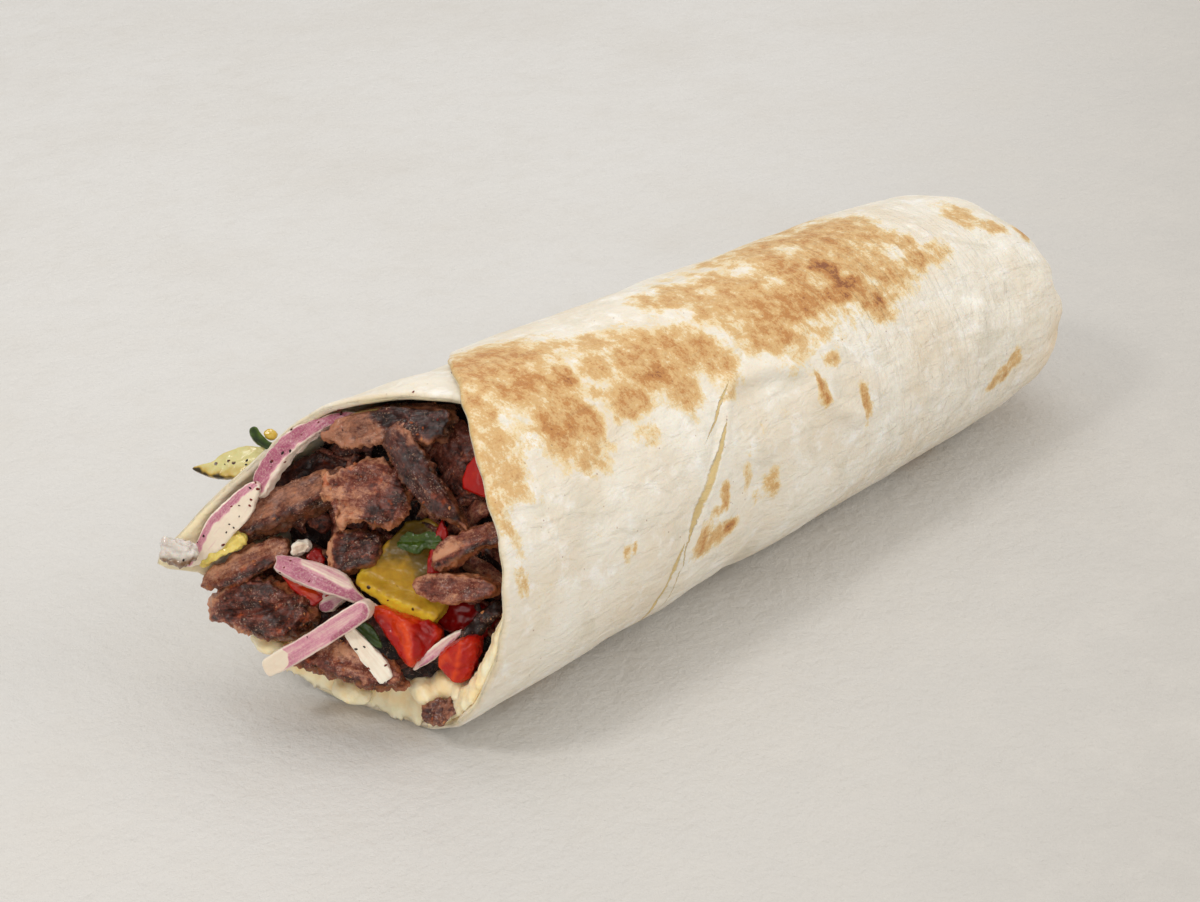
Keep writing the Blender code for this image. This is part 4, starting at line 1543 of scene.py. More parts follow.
CUTS = (
    Cut("onion_baton", Food.ONION, (-35.4, 12.7, 15.2), (-22.3, -5.1, 31.9),
        ((0.4, -2), (12, -2.3), (25.5, -2.2), (27.2, -1.3), (27.8, 0.2), (27.2, 1.6), (25.5, 2.2), (13, 1.8),
         (1.4, 2.2), (0.2, 1.6), (-0.3, -0.6)),
        bow=0.8, shade=0.44, lumps=0.12, torn=0.05, bevel=0.25,
        stripes=(Stripe(((-1, -1), (4.2, 0.6)), 2.4, -1.2), Stripe(((18, -2.2), (26, -1.8), (27.5, 0)), 1.1, 0.4))),
    Cut("onion_mid", Food.ONION, (-26, 19.9, 33.3), (-17, -3.1, 27.3),
        ((-0.5, 1.6), (5, 2.8), (10, 3.5), (14.5, 3.6), (16.5, 2.8), (18, 1.6), (21, 0.8), (26, 0.2), (26, -0.9),
         (18, -1.1), (15, -1.7), (10.5, -2.3), (5.5, -2.1), (0.5, -1.7), (0.8, -0.4)),
        2.2, (-0.55, -0.5, 0.65), bow=2.2, cup=1.2, twist=14, shade=0.66, fibre=0.06, lumps=0.2, torn=0.12,
        voxel=0.26,
        stripes=(Stripe(((7, 2.6), (12, 2.5), (16.5, 1.8)), 1.5, -0.4),
            Stripe(((6, -0.6), (14, -0.4), (20, -0.2)), 1.1, 0.25))),
    Cut("onion_arch", Food.ONION, (-23, 27, 45), (-6, 15, 63),
        ((0.5, 2.7), (4, 4.4), (8.4, 5.3), (13.5, 5.4), (18.5, 3.8), (22.2, 2.3), (27, -0.6), (27, -3), (23.5, -1),
         (20.7, 0.1), (17, 0.9), (13.6, 1.2), (9.5, 0.9), (5, 0.1), (2, -1.2), (-0.3, -1.2), (-0.7, 0.8)),
        3, (-0.8, -0.25, 0.55), bow=0.8, shade=0.2, fibre=0.06, lumps=0.25, torn=0.25, voxel=0.26, free=True,
        stripes=(Stripe(((1.2, 1.5), (4.6, 2.8), (9, 3.7), (13.6, 3.8), (18, 2.7), (22, 1.3),
            (27, -1.4)), 2, 0.66),)),
    Cut("onion_slab", Food.ONION, (-37.9, 33.9, 32), (-23.9, 26.9, 49),
        ((-0.2, 0.4), (4, 1.1), (7.4, 1.6), (11, 2.4), (14.6, 2), (20, 1.2), (23, 0.2), (23, -2), (19.4, -3),
         (18.2, -4), (16.3, -4.2), (11.3, -3.8), (7.4, -3.7), (2.7, -2.4), (0.1, -0.8)),
        2.4, (-0.65, -0.6, 0.43), bow=0.8, shade=-0.05, lumps=0.2, torn=0.15, voxel=0.28, free=True,
        stripes=(Stripe(((0, -0.2), (4, 0.1), (7.5, 0.7), (11, 1.4), (14.6, 0.9), (20, 0.2),
            (24, -0.8)), 0.8, 0.7),)),
    Cut("onion_strip_white", Food.WHITE_ONION, (-25.1, 0.7, 26.3), (-23.1, -9.3, 17.3),
        ((-0.6, 0.3), (2, 1.4), (5, 1.7), (8.5, 2.1), (11.5, 2.2), (14.6, 1.2), (15.2, -0.4), (14.2, -1.9),
         (11, -1.8), (7, -1.6), (3.6, -1.3), (0.6, -0.8)),
        2, bow=0.6, rounds=0, shade=0.2, lumps=0.2, torn=0.15),
    Cut("onion_thin", Food.ONION, (-18.2, -12.6, 18.3), (-11.2, -18.6, 26.3),
        ((-1, 0), (2, 0.9), (5.5, 1.3), (9, 1.1), (12.6, 0.4), (13, -0.4), (9.5, -0.9), (5.5, -1.1), (2, -0.7)),
        1.4, bow=0.6, shade=0.3, lumps=0.12, torn=0.1, voxel=0.2, bevel=0.2,
        stripes=(Stripe(((0, -0.6), (6, -1), (12, -0.5)), 0.4, 0.4),)),
    Cut("onion_chunk", Food.ONION, (-21.1, 12.2, 24.2), (-16.1, 6.2, 28.2),
        ((-0.5, -1.2), (1.8, -2.2), (4.4, -1.4), (6.4, -0.6), (5.6, 1.4), (3.2, 2.3), (0.8, 1.4)),
        shade=0.25, lumps=0.3, bevel=0.4, stripes=(Stripe(((0.6, -0.9), (2.4, -0.8)), 0.8, 0.6),)),
    Cut("meat_centre", Food.MEAT, (-16, 15, 49), (-8, -3, 49),
        ((-0.7, 2.4), (1, 2), (3.4, 2.8), (4.8, 4.3), (8.2, 6.4), (10.8, 7.1), (13, 6.9), (15.5, 5.3), (17.9, 2.6),
         (19.2, -0.4), (18.6, -3.4), (17.4, -5.6), (15.3, -6.3), (12.6, -6.6), (10.3, -6.1), (9, -5.6), (7.4, -6.9),
         (4.4, -7.7), (5, -5.8), (5.8, -3.6), (3.2, -2.9), (1.3, -3), (-0.4, -2.2), (0.4, -1), (1.4, 0.3),
         (0.2, 1.4)),
        3.8, (-0.6, -0.45, 0.66), bow=1.2, cup=0.8, twist=-8, shade=0.44, fibre=0.28, torn=0.9, bevel=0.7,
        folds=(Fold(((0, 0.4), (6, 0.8), (10, 2.6)), -0.8, 1), Fold(((6, -4), (10, -5), (16, -5)), -0.9, 0.9),
            Fold(((4, 3), (9, 4.6), (13, 4.8)), 0.7, 1.6)),
        stripes=(Stripe(((-0.5, 2), (3, 1.8)), 1, 0.45), Stripe(((-0.5, -2.4), (4.5, -1.6)), 1.2, 0.5),
            Stripe(((5, -7), (7, -5), (9.5, -4.8)), 1.3, 0.4), Stripe(((5, 4.2), (9, 6.3), (13, 6.6)), 0.8, 0.3),
            # Painted shade: the darker streak over the right end stands for the shade on that side.
            Stripe(((14, -5), (18, -2), (17.5, 3)), 2.4, -0.25))),
    Cut("meat_arm", Food.DARK_MEAT, (-6, 4, 61), (-5, -17, 45),
        ((-1, -3), (4.9, -4), (8.6, -4.5), (11.7, -4.8), (15, -4.7), (18.4, -3.8), (21.5, -1.6), (26, -0.6),
         (25.4, 0.4), (19.6, 1.2), (15, 1.6), (11.6, 1.8), (7.1, 2.4), (3, 3), (-1, 3.2)),
        5, (-0.7, -0.4, 0.6), bow=1.2, cup=0.8, shade=0.32, fibre=0.25, torn=0.5, voxel=0.26, bevel=0.9,
        folds=(Fold(((0, -0.6), (10, -1.4), (20, -1.2)), 0.9, 1.4),),
        stripes=(Stripe(((0.5, 2), (4, 2)), 0.9, 0.5), Stripe(((24, 0), (26, 0)), 0.9, 0.5))),
    Cut("meat_oval", Food.MEAT, (-13, -8, 34), (-6, -25, 37),
        ((-0.4, -0.5), (0.5, 1), (3.5, 2.2), (8, 2.7), (13, 2.2), (17.6, 1.2), (18.6, 0), (17.4, -2), (13, -3),
         (8.5, -3.7), (5.5, -3.5), (1.5, -2.3)),
        4.2, bow=1, shade=0.42, fibre=0.16, lumps=0.3, torn=0.3, bevel=0.7,
        folds=(Fold(((2, 0.2), (9, 0.4), (17, -0.2)), -0.5, 1.3),),
        stripes=(Stripe(((0, -0.5), (3, 1.5), (8, 2.4), (14, 1.9)), 0.7, 0.3),
            Stripe(((1, -1.8), (6, -3.1), (13, -2.7)), 0.6, 0.3))),
    Cut("meat_curl", Food.MEAT, (-10, -11, 40), (-1, -23, 46),
        ((-1.6, -1.4), (0.4, 1), (2.5, 2.2), (7, 3), (12, 3.2), (17, 2.8), (17, -1.6), (11, -1.2), (6, -2.6),
         (2.5, -3.6), (0.4, -3.2)),
        3.8, (-0.5, -0.5, 0.7), bow=1.4, twist=18, shade=0.45, fibre=0.3, lumps=0.3, torn=0.5, bevel=0.8,
        folds=(Fold(((0, -1), (7, 0), (15, 1)), -0.8, 1), Fold(((2, 1.6), (12, 2.2)), 0.5, 0.9)),
        stripes=(Stripe(((0.5, -0.6), (5, 0.4)), 1, 0.6), Stripe(((0, -2.8), (6, -2), (12, -0.8)), 0.6, -0.35))),
    Cut("meat_tongue", Food.MEAT, (-35.4, 33.1, 26.6), (-20.4, 21.1, 34.6),
        ((0.8, 0.2), (2.4, 1.4), (6.6, 2.2), (11, 3), (15, 2.8), (20.5, 2.2), (20.5, -2.4), (14, -3), (9, -3.2),
         (4.5, -3.2), (3, -2), (1.2, -1.4), (-0.2, -0.6)),
        4, (-0.55, -0.6, 0.58), bow=1, shade=0.6, fibre=0.3, lumps=0.3, torn=0.5, bevel=0.8,
        folds=(Fold(((2, -0.6), (10, 0), (18, 0)), -0.7, 0.9),),
        stripes=(Stripe(((3, -2.6), (9, -2.4), (15, -2)), 1.1, -0.5),
            Stripe(((1, 0.8), (8, 1.6), (14, 2)), 0.8, 0.2))),
    Cut("meat_wedge", Food.DARK_MEAT, (-27, 31, 37), (-9, 14, 48),
        ((-0.4, -3.2), (-0.8, 1), (2, 3.4), (8, 4), (15, 3.4), (22, 3), (27, 2), (27, -2.6), (20, -3.6), (12, -4),
         (5, -3.8)),
        6.2, (-0.5, -0.35, 0.8), bow=0.8, twist=-8, shade=0.75, fibre=0.3, lumps=0.4, torn=0.4, voxel=0.26, bevel=0.9,
        folds=(Fold(((1, -2.4), (12, -3), (26, -2)), 0.5, 0.9),),
        stripes=(Stripe(((-0.6, -3), (-0.6, 2)), 0.8, 0.5), Stripe(((0, -4), (26, -4)), 1.4, -0.5))),
    Cut("meat_knuckle", Food.MEAT, (-32.3, 31.4, 20.2), (-21.3, 11.4, 24.2),
        ((-1, -1.6), (-0.6, 1.8), (1.4, 4.6), (4, 6), (8, 6.6), (12.6, 6.2), (16, 4.4), (19.5, 2.4), (22.6, 0),
         (21.8, -3), (18.6, -5.8), (14, -6.8), (9, -5.4), (5, -3.6), (1.6, -3.2)),
        8, (-0.6, -0.6, 0.5), bow=2, cup=1.6, shade=0.22, fibre=0.25, torn=0.9, voxel=0.3, bevel=1.4,
        folds=(Fold(((5, -0.6), (11, -1), (16, 0.6), (19, 2)), -1.3, 0.9),
            Fold(((16, -4), (18, -1), (19, 1)), -0.7, 0.8), Fold(((3, 2), (10, 2.6)), 0.6, 2)),
        stripes=(Stripe(((-1, -1), (0.5, 2), (3, 4.6)), 1.6, 0.55), Stripe(((2, -2.6), (8, -4.6)), 0.9, 0.45),
            Stripe(((4, 5.4), (10, 5.8)), 0.6, 0.3))),
    Cut("meat_ledge", Food.MEAT, (-30.5, 13, 17.4), (-20.5, -13, 15.4),
        ((-0.6, -2), (2, 2.2), (5, 4.6), (9, 6), (14, 5.9), (19, 4.8), (24, 3.2), (27, 1.4), (26.4, -1.2),
         (22, -2.6), (16, -2.6), (8, -2.4), (2, -2.2)),
        4.4, (-0.6, -0.5, 0.62), bow=1, shade=0.42, fibre=0.22, lumps=0.7, torn=0.8, voxel=0.3, bevel=1,
        folds=(Fold(((2, -1), (12, -0.6), (24, -1)), 0.8, 1.2),),
        stripes=(Stripe(((3, 2), (9, 3.4), (18, 2.8)), 1.2, 0.5),
            Stripe(((4, -3), (14, -3.4), (24, -3)), 0.9, -0.3))),
    Cut("meat_block", Food.MEAT, (-17, 13, 33), (-9, 2, 37),
        ((0.4, -3.6), (0.2, 0), (0.8, 3.6), (3.4, 4.6), (8, 4.4), (11.8, 3), (13, 0), (11.6, -2.8), (7.4, -3.8),
         (3, -4.2)),
        7, (-0.6, -0.5, 0.62), bow=1, cup=0.6, shade=0.14, fibre=0.2, torn=0.4, voxel=0.28, bevel=0.7,
        folds=(Fold(((3, -5), (2.6, 0), (3.4, 5)), 0.9, 0.8),),
        stripes=(Stripe(((1, -5), (0.6, 0), (1.4, 4.6)), 1.5, 0.95),)),
    Cut("meat_roof", Food.DARK_MEAT, (-11.7, 18.9, 58.3), (2.3, -5.1, 65.3),
        ((-0.8, -1.6), (2.6, 0.6), (6, 3.4), (10, 6), (16, 7), (22, 6.6), (28, 5), (28, -4), (22, -5.4), (17, -4.6),
         (13, -3.7), (10, -4.5), (6, -3.8), (2.6, -3.2)),
        4.5, (-0.75, -0.3, 0.45), bow=1.4, shade=0.72, fibre=0.22, torn=0.9, voxel=0.28, bevel=0.8,
        folds=(Fold(((1, -1), (8, 0.6), (15, 2)), 0.6, 0.8), Fold(((5, -3), (12, -1), (18, 0)), -0.7, 0.8),
            Fold(((6, 1.6), (12, 4)), -0.5, 0.7)),
        stripes=(Stripe(((-1, -1.6), (4, -2.6), (9, -4.4)), 1, 0.5), Stripe(((3, 1), (9, 4.6)), 1.2, 0.35),
            # Painted shade: the broad darker streak over its right half stands for the shade that part lies in.
            Stripe(((17, 3), (26, 0)), 5, -0.55))),
    Cut("meat_nub", Food.DARK_MEAT, (-18.3, -16.6, 9.3), (-13.3, -24.6, 11.3),
        ((-2, -1.2), (-1, 1.4), (3.2, 2.6), (5.6, 2.4), (7.2, 1.2), (7.2, -0.8), (5.8, -2.4), (3.4, -2.6),
         (1.4, -2.2)),
        4.2, (-0.6, -0.4, 0.7), fibre=0.2, lumps=0.8, torn=0.7, voxel=0.26, bevel=0.8),
    Cut("pepper_yellow", Food.PEPPER, (-17, 7, 31), (-7, -13, 33),
        ((1.5, 0.2), (2.7, 2.4), (6.4, 6.4), (10, 10), (11.3, 12.4), (18, 13), (20, 7.8), (20.5, 3), (21.6, -3.6),
         (20.8, -6), (18.9, -8.6), (15.6, -8.2), (11.9, -7.1), (8.7, -5.4), (4.9, -3.3), (2.2, -2)),
        2.6, (-0.65, -0.5, 0.58), bow=0.4, fibre=0.02, lumps=0.25, bevel=0.5,
        folds=(Fold(((3, -1), (8.6, -3), (14, -5), (20, -6.6)), 0.9, 1.5),
            Fold(((4, 1.4), (10, -0.6), (18, -3)), -0.5, 1.4)),
        # The broad streak over the upper part turns it to the dark olive skin colour: partly the pepper's own skin,
        # partly painted shadow from the pieces above.
        stripes=(Stripe(((8, 8), (14, 9), (18, 4)), 4, 0.6, 3.2), Stripe(((2, 0.6), (5, 4), (8, 8)), 0.8, -0.5),
            Stripe(((4, -2.4), (10, -4.8), (18, -7.4)), 1.1, -0.6))),
    Cut("tomato_wedge", Food.TOMATO, (-20, 0, 28), (-15, -14, 20),
        ((1.7, 2), (4.8, 3.2), (7.2, 4), (10.1, 5), (13.4, 6.4), (16.4, 5.6), (16.6, 1.8), (15.4, -3.2),
         (14.4, -3.9), (11.5, -2.8), (7.3, -1.6), (3.6, -0.2), (1.8, 0.8)),
        5, (-0.7, -0.6, 0.4), bow=0.6, shade=0.28, fibre=0.02, lumps=0.45, voxel=0.22, bevel=1.2,
        folds=(Fold(((8.3, 4.4), (11.2, 1.2), (13.7, -1.7), (15, -3.4)), 1.6, 2.6),
            Fold(((2, 1), (7, 1), (11, -1.6)), -0.5, 1.3)),
        stripes=(Stripe(((12.6, 4.6), (15, 0.6)), 1.9, 0.4),
            Stripe(((8.3, 3.6), (11.2, 1.2), (13.7, -1.7)), 0.3, -0.45),
            Stripe(((4, 0.4), (8, -0.8), (13, -2.6)), 0.8, 0.35))),
    Cut("tomato_corner", Food.TOMATO, (-15, -17, 17), (-10, -23, 24),
        ((10.2, 4), (13, 2.2), (10.7, -0.4), (7.6, -2.4), (4.8, -3.7), (3, -2.2), (1.4, 2.1), (2.6, 4), (6.1, 4.4)),
        5.4, (-0.7, -0.65, 0.3), bow=0.6, fibre=0.02, lumps=0.4, voxel=0.22, bevel=1.1,
        folds=(Fold(((10.4, 4), (6.3, 0.9), (2.8, -1.6)), 1.3, 2.2),),
        stripes=(Stripe(((9.6, 3.6), (6.3, 0.9), (2.8, -1.6)), 0.25, -0.4), Stripe(((2, 2.6), (5, 3.4)), 0.8, -0.3))),
    Cut("tomato_flap", Food.TOMATO, (-1, -14, 51.7), (4, -14, 61.7),
        ((0, -4), (0.2, 2.8), (2, 3.6), (5, 3.4), (8, 2.2), (11, 0.2), (11, -3), (6, -4)),
        3, (-0.85, -0.4, 0.35), bow=0.5, rounds=0, shade=0.55, fibre=0.02, lumps=0.15, torn=0.05, voxel=0.22,
        bevel=0.4),
    Cut("tomato_sliver", Food.TOMATO, (-10, -10, 36), (-5, -9, 46),
        ((-1, -2), (-1, 1.2), (4, 1.6), (8, 1.4), (11.4, 0.8), (9, -0.8), (5, -2.2)),
        2.4, rounds=0, shade=0.7, lumps=0.3, voxel=0.22),
    Cut("tomato_left", Food.TOMATO, (-24, 19.3, 29.4), (-19, 9.3, 24.4),
        ((-1.6, 0.6), (2, 2.2), (6, 3), (10, 3.6), (11.4, 2.6), (9.4, -0.6), (8, -3.2), (5.4, -2.2), (1.8, -1.2)),
        3.6, rounds=0, fibre=0.03, lumps=0.35, torn=0.15, bevel=0.4,
        stripes=(Stripe(((3, 0.8), (7, 0)), 1.2, -0.35),)),
    Cut("cucumber_slice", Food.CUCUMBER, (-26.3, 44.2, 46), (-14.3, 28.2, 51),
        ((-0.3, 0.1), (3.2, 0.4), (4.8, 0.3), (6.4, 1.6), (8.8, 2.2), (11.9, 2.7), (14, 2.2), (19, 1), (19, -3),
         (15, -3.5), (12.1, -3.9), (8.3, -3.8), (5.8, -3.3), (3.3, -2.3), (1.2, -1.1)),
        1.8, (-0.5, -0.45, 0.74), bow=0.4, shade=0.08, fibre=0.03, lumps=0.08, torn=0.04, voxel=0.22, free=True,
        stripes=(Stripe(((-0.3, 0), (3.4, -2.3), (8.4, -3.8), (16, -3.5)), 0.35, 0.9),
            Stripe(((1, -0.8), (6, -2.6), (14, -2.6)), 0.9, 0.22))),
    Cut("cucumber_rind", Food.HERB, (-19, 34.1, 54.8), (-13, 25.1, 50.8),
        ((-0.4, 1.2), (0.6, 2.2), (2, 1.2), (4, 0.2), (6.4, 0.2), (10, 0.8), (10, -1.6), (7, -1.6), (4, -1.6),
         (1.6, -1), (0, 0)),
        1.2, (-0.5, -0.45, 0.74), shade=0.3, fibre=0.02, lumps=0.1, torn=0.08, voxel=0.2, bevel=0.25, free=True,
        stripes=(Stripe(((0, 1.8), (2, -0.6), (5, -1.4), (10, -1.4)), 0.4, 0.6),)),
    Cut("pickle_bit", Food.PICKLE, (-15.4, 32.8, 54.8), (-14.9, 28.8, 52.8),
        ((-0.2, -0.8), (0.2, 1), (2.2, 1.2), (2.6, -0.2), (1.4, -1.4)),
        1.4, shade=0.6, fibre=0.02, lumps=0.15, torn=0.1, voxel=0.2, bevel=0.25, free=True),
    Cut("pickle_strip", Food.PICKLE, (-36.5, 31.2, 33), (-28.5, 25.2, 38),
        ((-0.6, -0.6), (1.4, 0.9), (4, 2.1), (6, 2.3), (8.4, 2.2), (11.4, 1.2), (11.4, -0.8), (7, -1.4), (3, -1.1)),
        2, shade=0.25, torn=0.5, voxel=0.22, bevel=0.4, free=True),
    Cut("fat_nub", Food.FAT, (-43.3, 33.4, 38.7), (-39.2, 28, 38.3),
        ((-0.3, -2), (0, 1.4), (1.8, 2.3), (4, 1.9), (6.8, 1.4), (7, -1.6), (5.4, -2.9), (3, -3.1), (1, -2.8)),
        4.2, shade=0.25, lumps=0.8, torn=0.5, voxel=0.2, bevel=1, free=True,
        stripes=(Stripe(((-1, -2), (3, -3), (7, -2)), 0.9, 0.6),)),
    Cut("leaf_on_pepper", Food.HERB, (-12, -2.3, 41), (-8, -11.3, 42),
        ((-0.6, -0.8), (0.4, 1.4), (2.4, 2.4), (4, 1.6), (6, 2.6), (8.6, 2.4), (9.6, 0.4), (8.2, -1.2), (6, -0.8),
         (4.6, -2.2), (2, -2.2)),
        0.7, (-0.7, -0.45, 0.6), shade=0.45, lumps=0.3, torn=0.3, voxel=0.2, bevel=0,
        folds=(Fold(((0, 0), (9, 0.8)), -0.4, 0.5),)),
    Cut("leaf_low", Food.HERB, (-24, 0, 26), (-20, -8, 22.5),
        ((-0.8, 0.6), (2, 1.6), (4, 1.8), (6.4, 0.6), (8.6, -1.4), (5.6, -1.8), (2.4, -0.8)),
        0.8, shade=0.55, fibre=0.04, lumps=0.2, voxel=0.2, bevel=0, folds=(Fold(((0, 0.4), (8, -0.8)), -0.3, 0.4),)),
    Cut("fat_bit", Food.WHITE_ONION, (-22.6, 18.5, 35), (-19.6, 16.1, 36),
        ((-0.2, -0.8), (0.6, 0.9), (2, 1.5), (3.6, 1), (4.4, -0.2), (3.2, -1.2), (1.4, -1.4)),
        1.8, shade=0.6, fibre=0.1, torn=0.5, voxel=0.22, bevel=0.4),
    Cut("tomato_bit", Food.TOMATO, (-20.4, 15, 35), (-19.2, 12.8, 33.6),
        ((-0.6, -1.4), (-0.2, 1.2), (1.4, 1.8), (3, 0.6), (3.2, -1.2), (1.2, -1.9)),
        1.6, shade=0.8, torn=0.4, voxel=0.22, bevel=0.4),
    Cut("pickle_top", Food.PICKLE, (-8.6, 15.3, 62.4), (-6, 10, 64.7),
        ((-0.4, -0.4), (1.4, 0.6), (4, 1), (7, 0.9), (7.2, -0.6), (3.4, -0.9)),
        1.4, shade=0.1, fibre=0.03, lumps=0.2, voxel=0.22),
)


@dataclass(frozen=True)
class Chunk:
    """A piece of filling in the shadow behind the others, roughened from its CAD solid.

    Attributes:
        node: The CAD node that it stands for.
        food: What it is.
        shade: How far it leans to the last of its finish's colours, from 0 to 1.
        lumps: Height of its lumps in millimetres.
        voxel: Size of its faces in millimetres.
    """

    node: str
    food: Food
    shade: float
    lumps: float = 0.7
    voxel: float = 0.32

    def build(self, material: Material) -> Object:
        """Roughens and dresses the piece.

        Args:
            material: What it is dressed with.

        Returns:
            The new object.
        """
        mesh = remeshed(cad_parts[self.node].data, self.voxel)
        table = vertex_table(mesh)
        local = table / MM
        rise = np.array([
            self.lumps * (noise(Vector(row) / 2.6) + 0.5 * noise(Vector(row) / 1.1)) for row in local
        ])
        moved = tucked(local + normal_table(mesh) * rise[:, None] - np.array(ORIGIN) / MM)
        put_vertices(mesh, moved * MM + np.array(ORIGIN))
        # Painted shade: on the meat chunks, hollows come out darker and raised spots lighter; on the tomato the same
        # term only varies its red.
        mark(mesh, local, self.shade + 0.25 * rise)
        return show(f"{self.node}_piece", mesh, material, self.food.value, [self.node])


CHUNKS = (
    Chunk("meat_behind_arm", Food.MEAT, 0.3),
    Chunk("meat_left_back", Food.DARK_MEAT, 0.3),
    Chunk("meat_low_dark", Food.DARK_MEAT, 0.35),
    Chunk("meat_char", Food.DARK_MEAT, 0.05, 0.9),
    Chunk("tomato_back", Food.TOMATO, 0.95, 0.5),
)


@dataclass
class Shreds:
    """Torn scraps of meat that fill the gaps between and behind the larger pieces.

    Attributes:
        count: How many there are.
        length: The shortest and the longest, in millimetres.
        width: The narrowest and the widest, in millimetres.
        around: Faces round each one.
        along: Faces along each one.
        seed: Fixes where they fall.
        reach: How far they lie from the middle of the mouth, in millimetres.
        middle: Height of that middle, in millimetres.
    """

    count: int = 150
    length: Pair = (6.0, 15.0)
    width: Pair = (2.4, 5.0)
    around: int = 10
    along: int = 14
    seed: int = 5
    reach: float = 30.0
    middle: float = 34.0

    def front(self, y: float, z: float) -> float:
        """X of the filling's slanting front at this place."""
        return -16 - 0.357 * y + 0.4 * (z - 15)

    def build(self, material: Material) -> Object:
        """Scatters and dresses the scraps.

        Args:
            material: What it is dressed with.

        Returns:
            The new object.
        """
        rng = random.Random(self.seed)
        bm = bmesh.new()
        rows: list[tuple[float, float, float]] = []
        shades: list[float] = []
        out = Vector((-0.8, -0.35, 0.45)).normalized()
        for number in range(self.count):
            radius = self.reach * math.sqrt(rng.random())
            turn = rng.uniform(0, math.tau)
            y, z = radius * math.cos(turn), self.middle + radius * math.sin(turn)
            x = self.front(y, z) + rng.uniform(-1.0, 5.0)
            x += 0.6 * max(0.0, 20 - z)
            place = Vector((x, y, z))
            heading = Vector((rng.uniform(-0.5, 0.5), rng.uniform(-1, 1), rng.uniform(-0.8, 0.8))).normalized()
            heading = (heading - out * heading.dot(out) * 0.8).normalized()
            aimed = heading.to_track_quat("X", "Z").to_matrix().to_4x4()
            length, width = rng.uniform(*self.length), rng.uniform(*self.width)
            bend = rng.uniform(-2.0, 2.0)
            tone = rng.uniform(0.05, 0.6)
            made = bmesh.ops.create_uvsphere(bm, u_segments=self.around, v_segments=self.along, radius=1)["verts"]
            spin = Matrix.Rotation(rng.uniform(0, math.tau), 4, "X")
            for vert in made:
                axis = vert.co.z
                blunt = max(0.02, 1 - axis**6) ** 0.5 / max(0.05, 1 - axis**2) ** 0.5
                spot = Vector((axis * length / 2, vert.co.x * blunt * width / 2, vert.co.y * blunt * width / 3.2))
                grain = noise(Vector((spot.x / 4, spot.y / 0.9, spot.z / 0.9 + number * 3)))
                tear = noise(Vector((spot.x / 1.4, number * 5, 0)))
                spot.y += bend * (axis * axis - 0.3) + 0.6 * tear
                spot.z += 0.5 * tear
                local = spot * (1 + 0.35 * grain)
                vert.co = row_place(place + aimed @ (spin @ local))
                rows.append((spot.x + number * 7, spot.y, spot.z))
                shades.append(tone + 0.5 * grain)
        mesh = mesh_from(bm, "shreds")
        tuck_in(mesh, 2.5)
        mark(mesh, np.array(rows), np.array(shades))
        return show("meat_shreds", mesh, material, Food.MEAT.value)


@dataclass
class PackedFilling:
    """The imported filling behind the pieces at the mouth.

    Attributes:
        voxel: Size of its faces in millimetres.
        lumps: Height of its lumps in millimetres.
    """

    voxel: float = 1.1
    lumps: float = 1.3

    def build(self, material: Material) -> Object:
        """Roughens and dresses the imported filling.

        Args:
            material: What it is dressed with.

        Returns:
            The new object.
        """
        mesh = remeshed(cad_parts["filling_core"].data, self.voxel, 1)
        local = vertex_table(mesh) / MM

        def height(spot: Vector) -> float:
            """How far the filling stands out at a place."""
            return self.lumps * (noise(spot / MM / 4.5) + 0.5 * noise(spot / MM / 2) - 0.5)

        rise = raise_surface(mesh, height)
        lowered = vertex_table(mesh)
        for row in lowered:
            x, _, z = (row - ORIGIN) / MM
            row[2] -= ROLL.slump(x) * MM * max(0.0, z / ROLL.tail_radius - 1)
        put_vertices(mesh, lowered)
        # Painted shade: hollows come out darker and raised spots lighter.
        mark(mesh, local, 0.15 + 0.25 * rise)
        return show("packed_filling", mesh, material, "filling", ["filling_core"])


# ---- Small bits ----

FACES_MOUTH = 0.35  # how far a surface must turn towards the mouth for bits to land on it
RIM_WIDTH = 1.6  # millimetres in from the bread's edge that bits land on it
RIM_FOOT, RIM_NEAR = 42.0, -10.0  # the least Z and Y of the places on that edge, in millimetres


@dataclass(frozen=True)
class SpeckFinish:
    """Loose bits whose colour changes from one to the next.

    Attributes:
        name: The material's name.
        first: Colour of some of them.
        second: Colour of the rest.
    """

    name: str
    first: Colour
    second: Colour

    def material(self) -> Material:
        """Builds the bits' material.

        Returns:
            The material.
        """
        p = Painter(self.name)
        place = p.place()
        base = p.lay(self.first, self.second, p.noise(place, 260, 2), 0.44, 0.56)
        return p.finish(base, 0.5, 0.3, p.bumps((p.noise(place, 2600, 3), 0.1)))


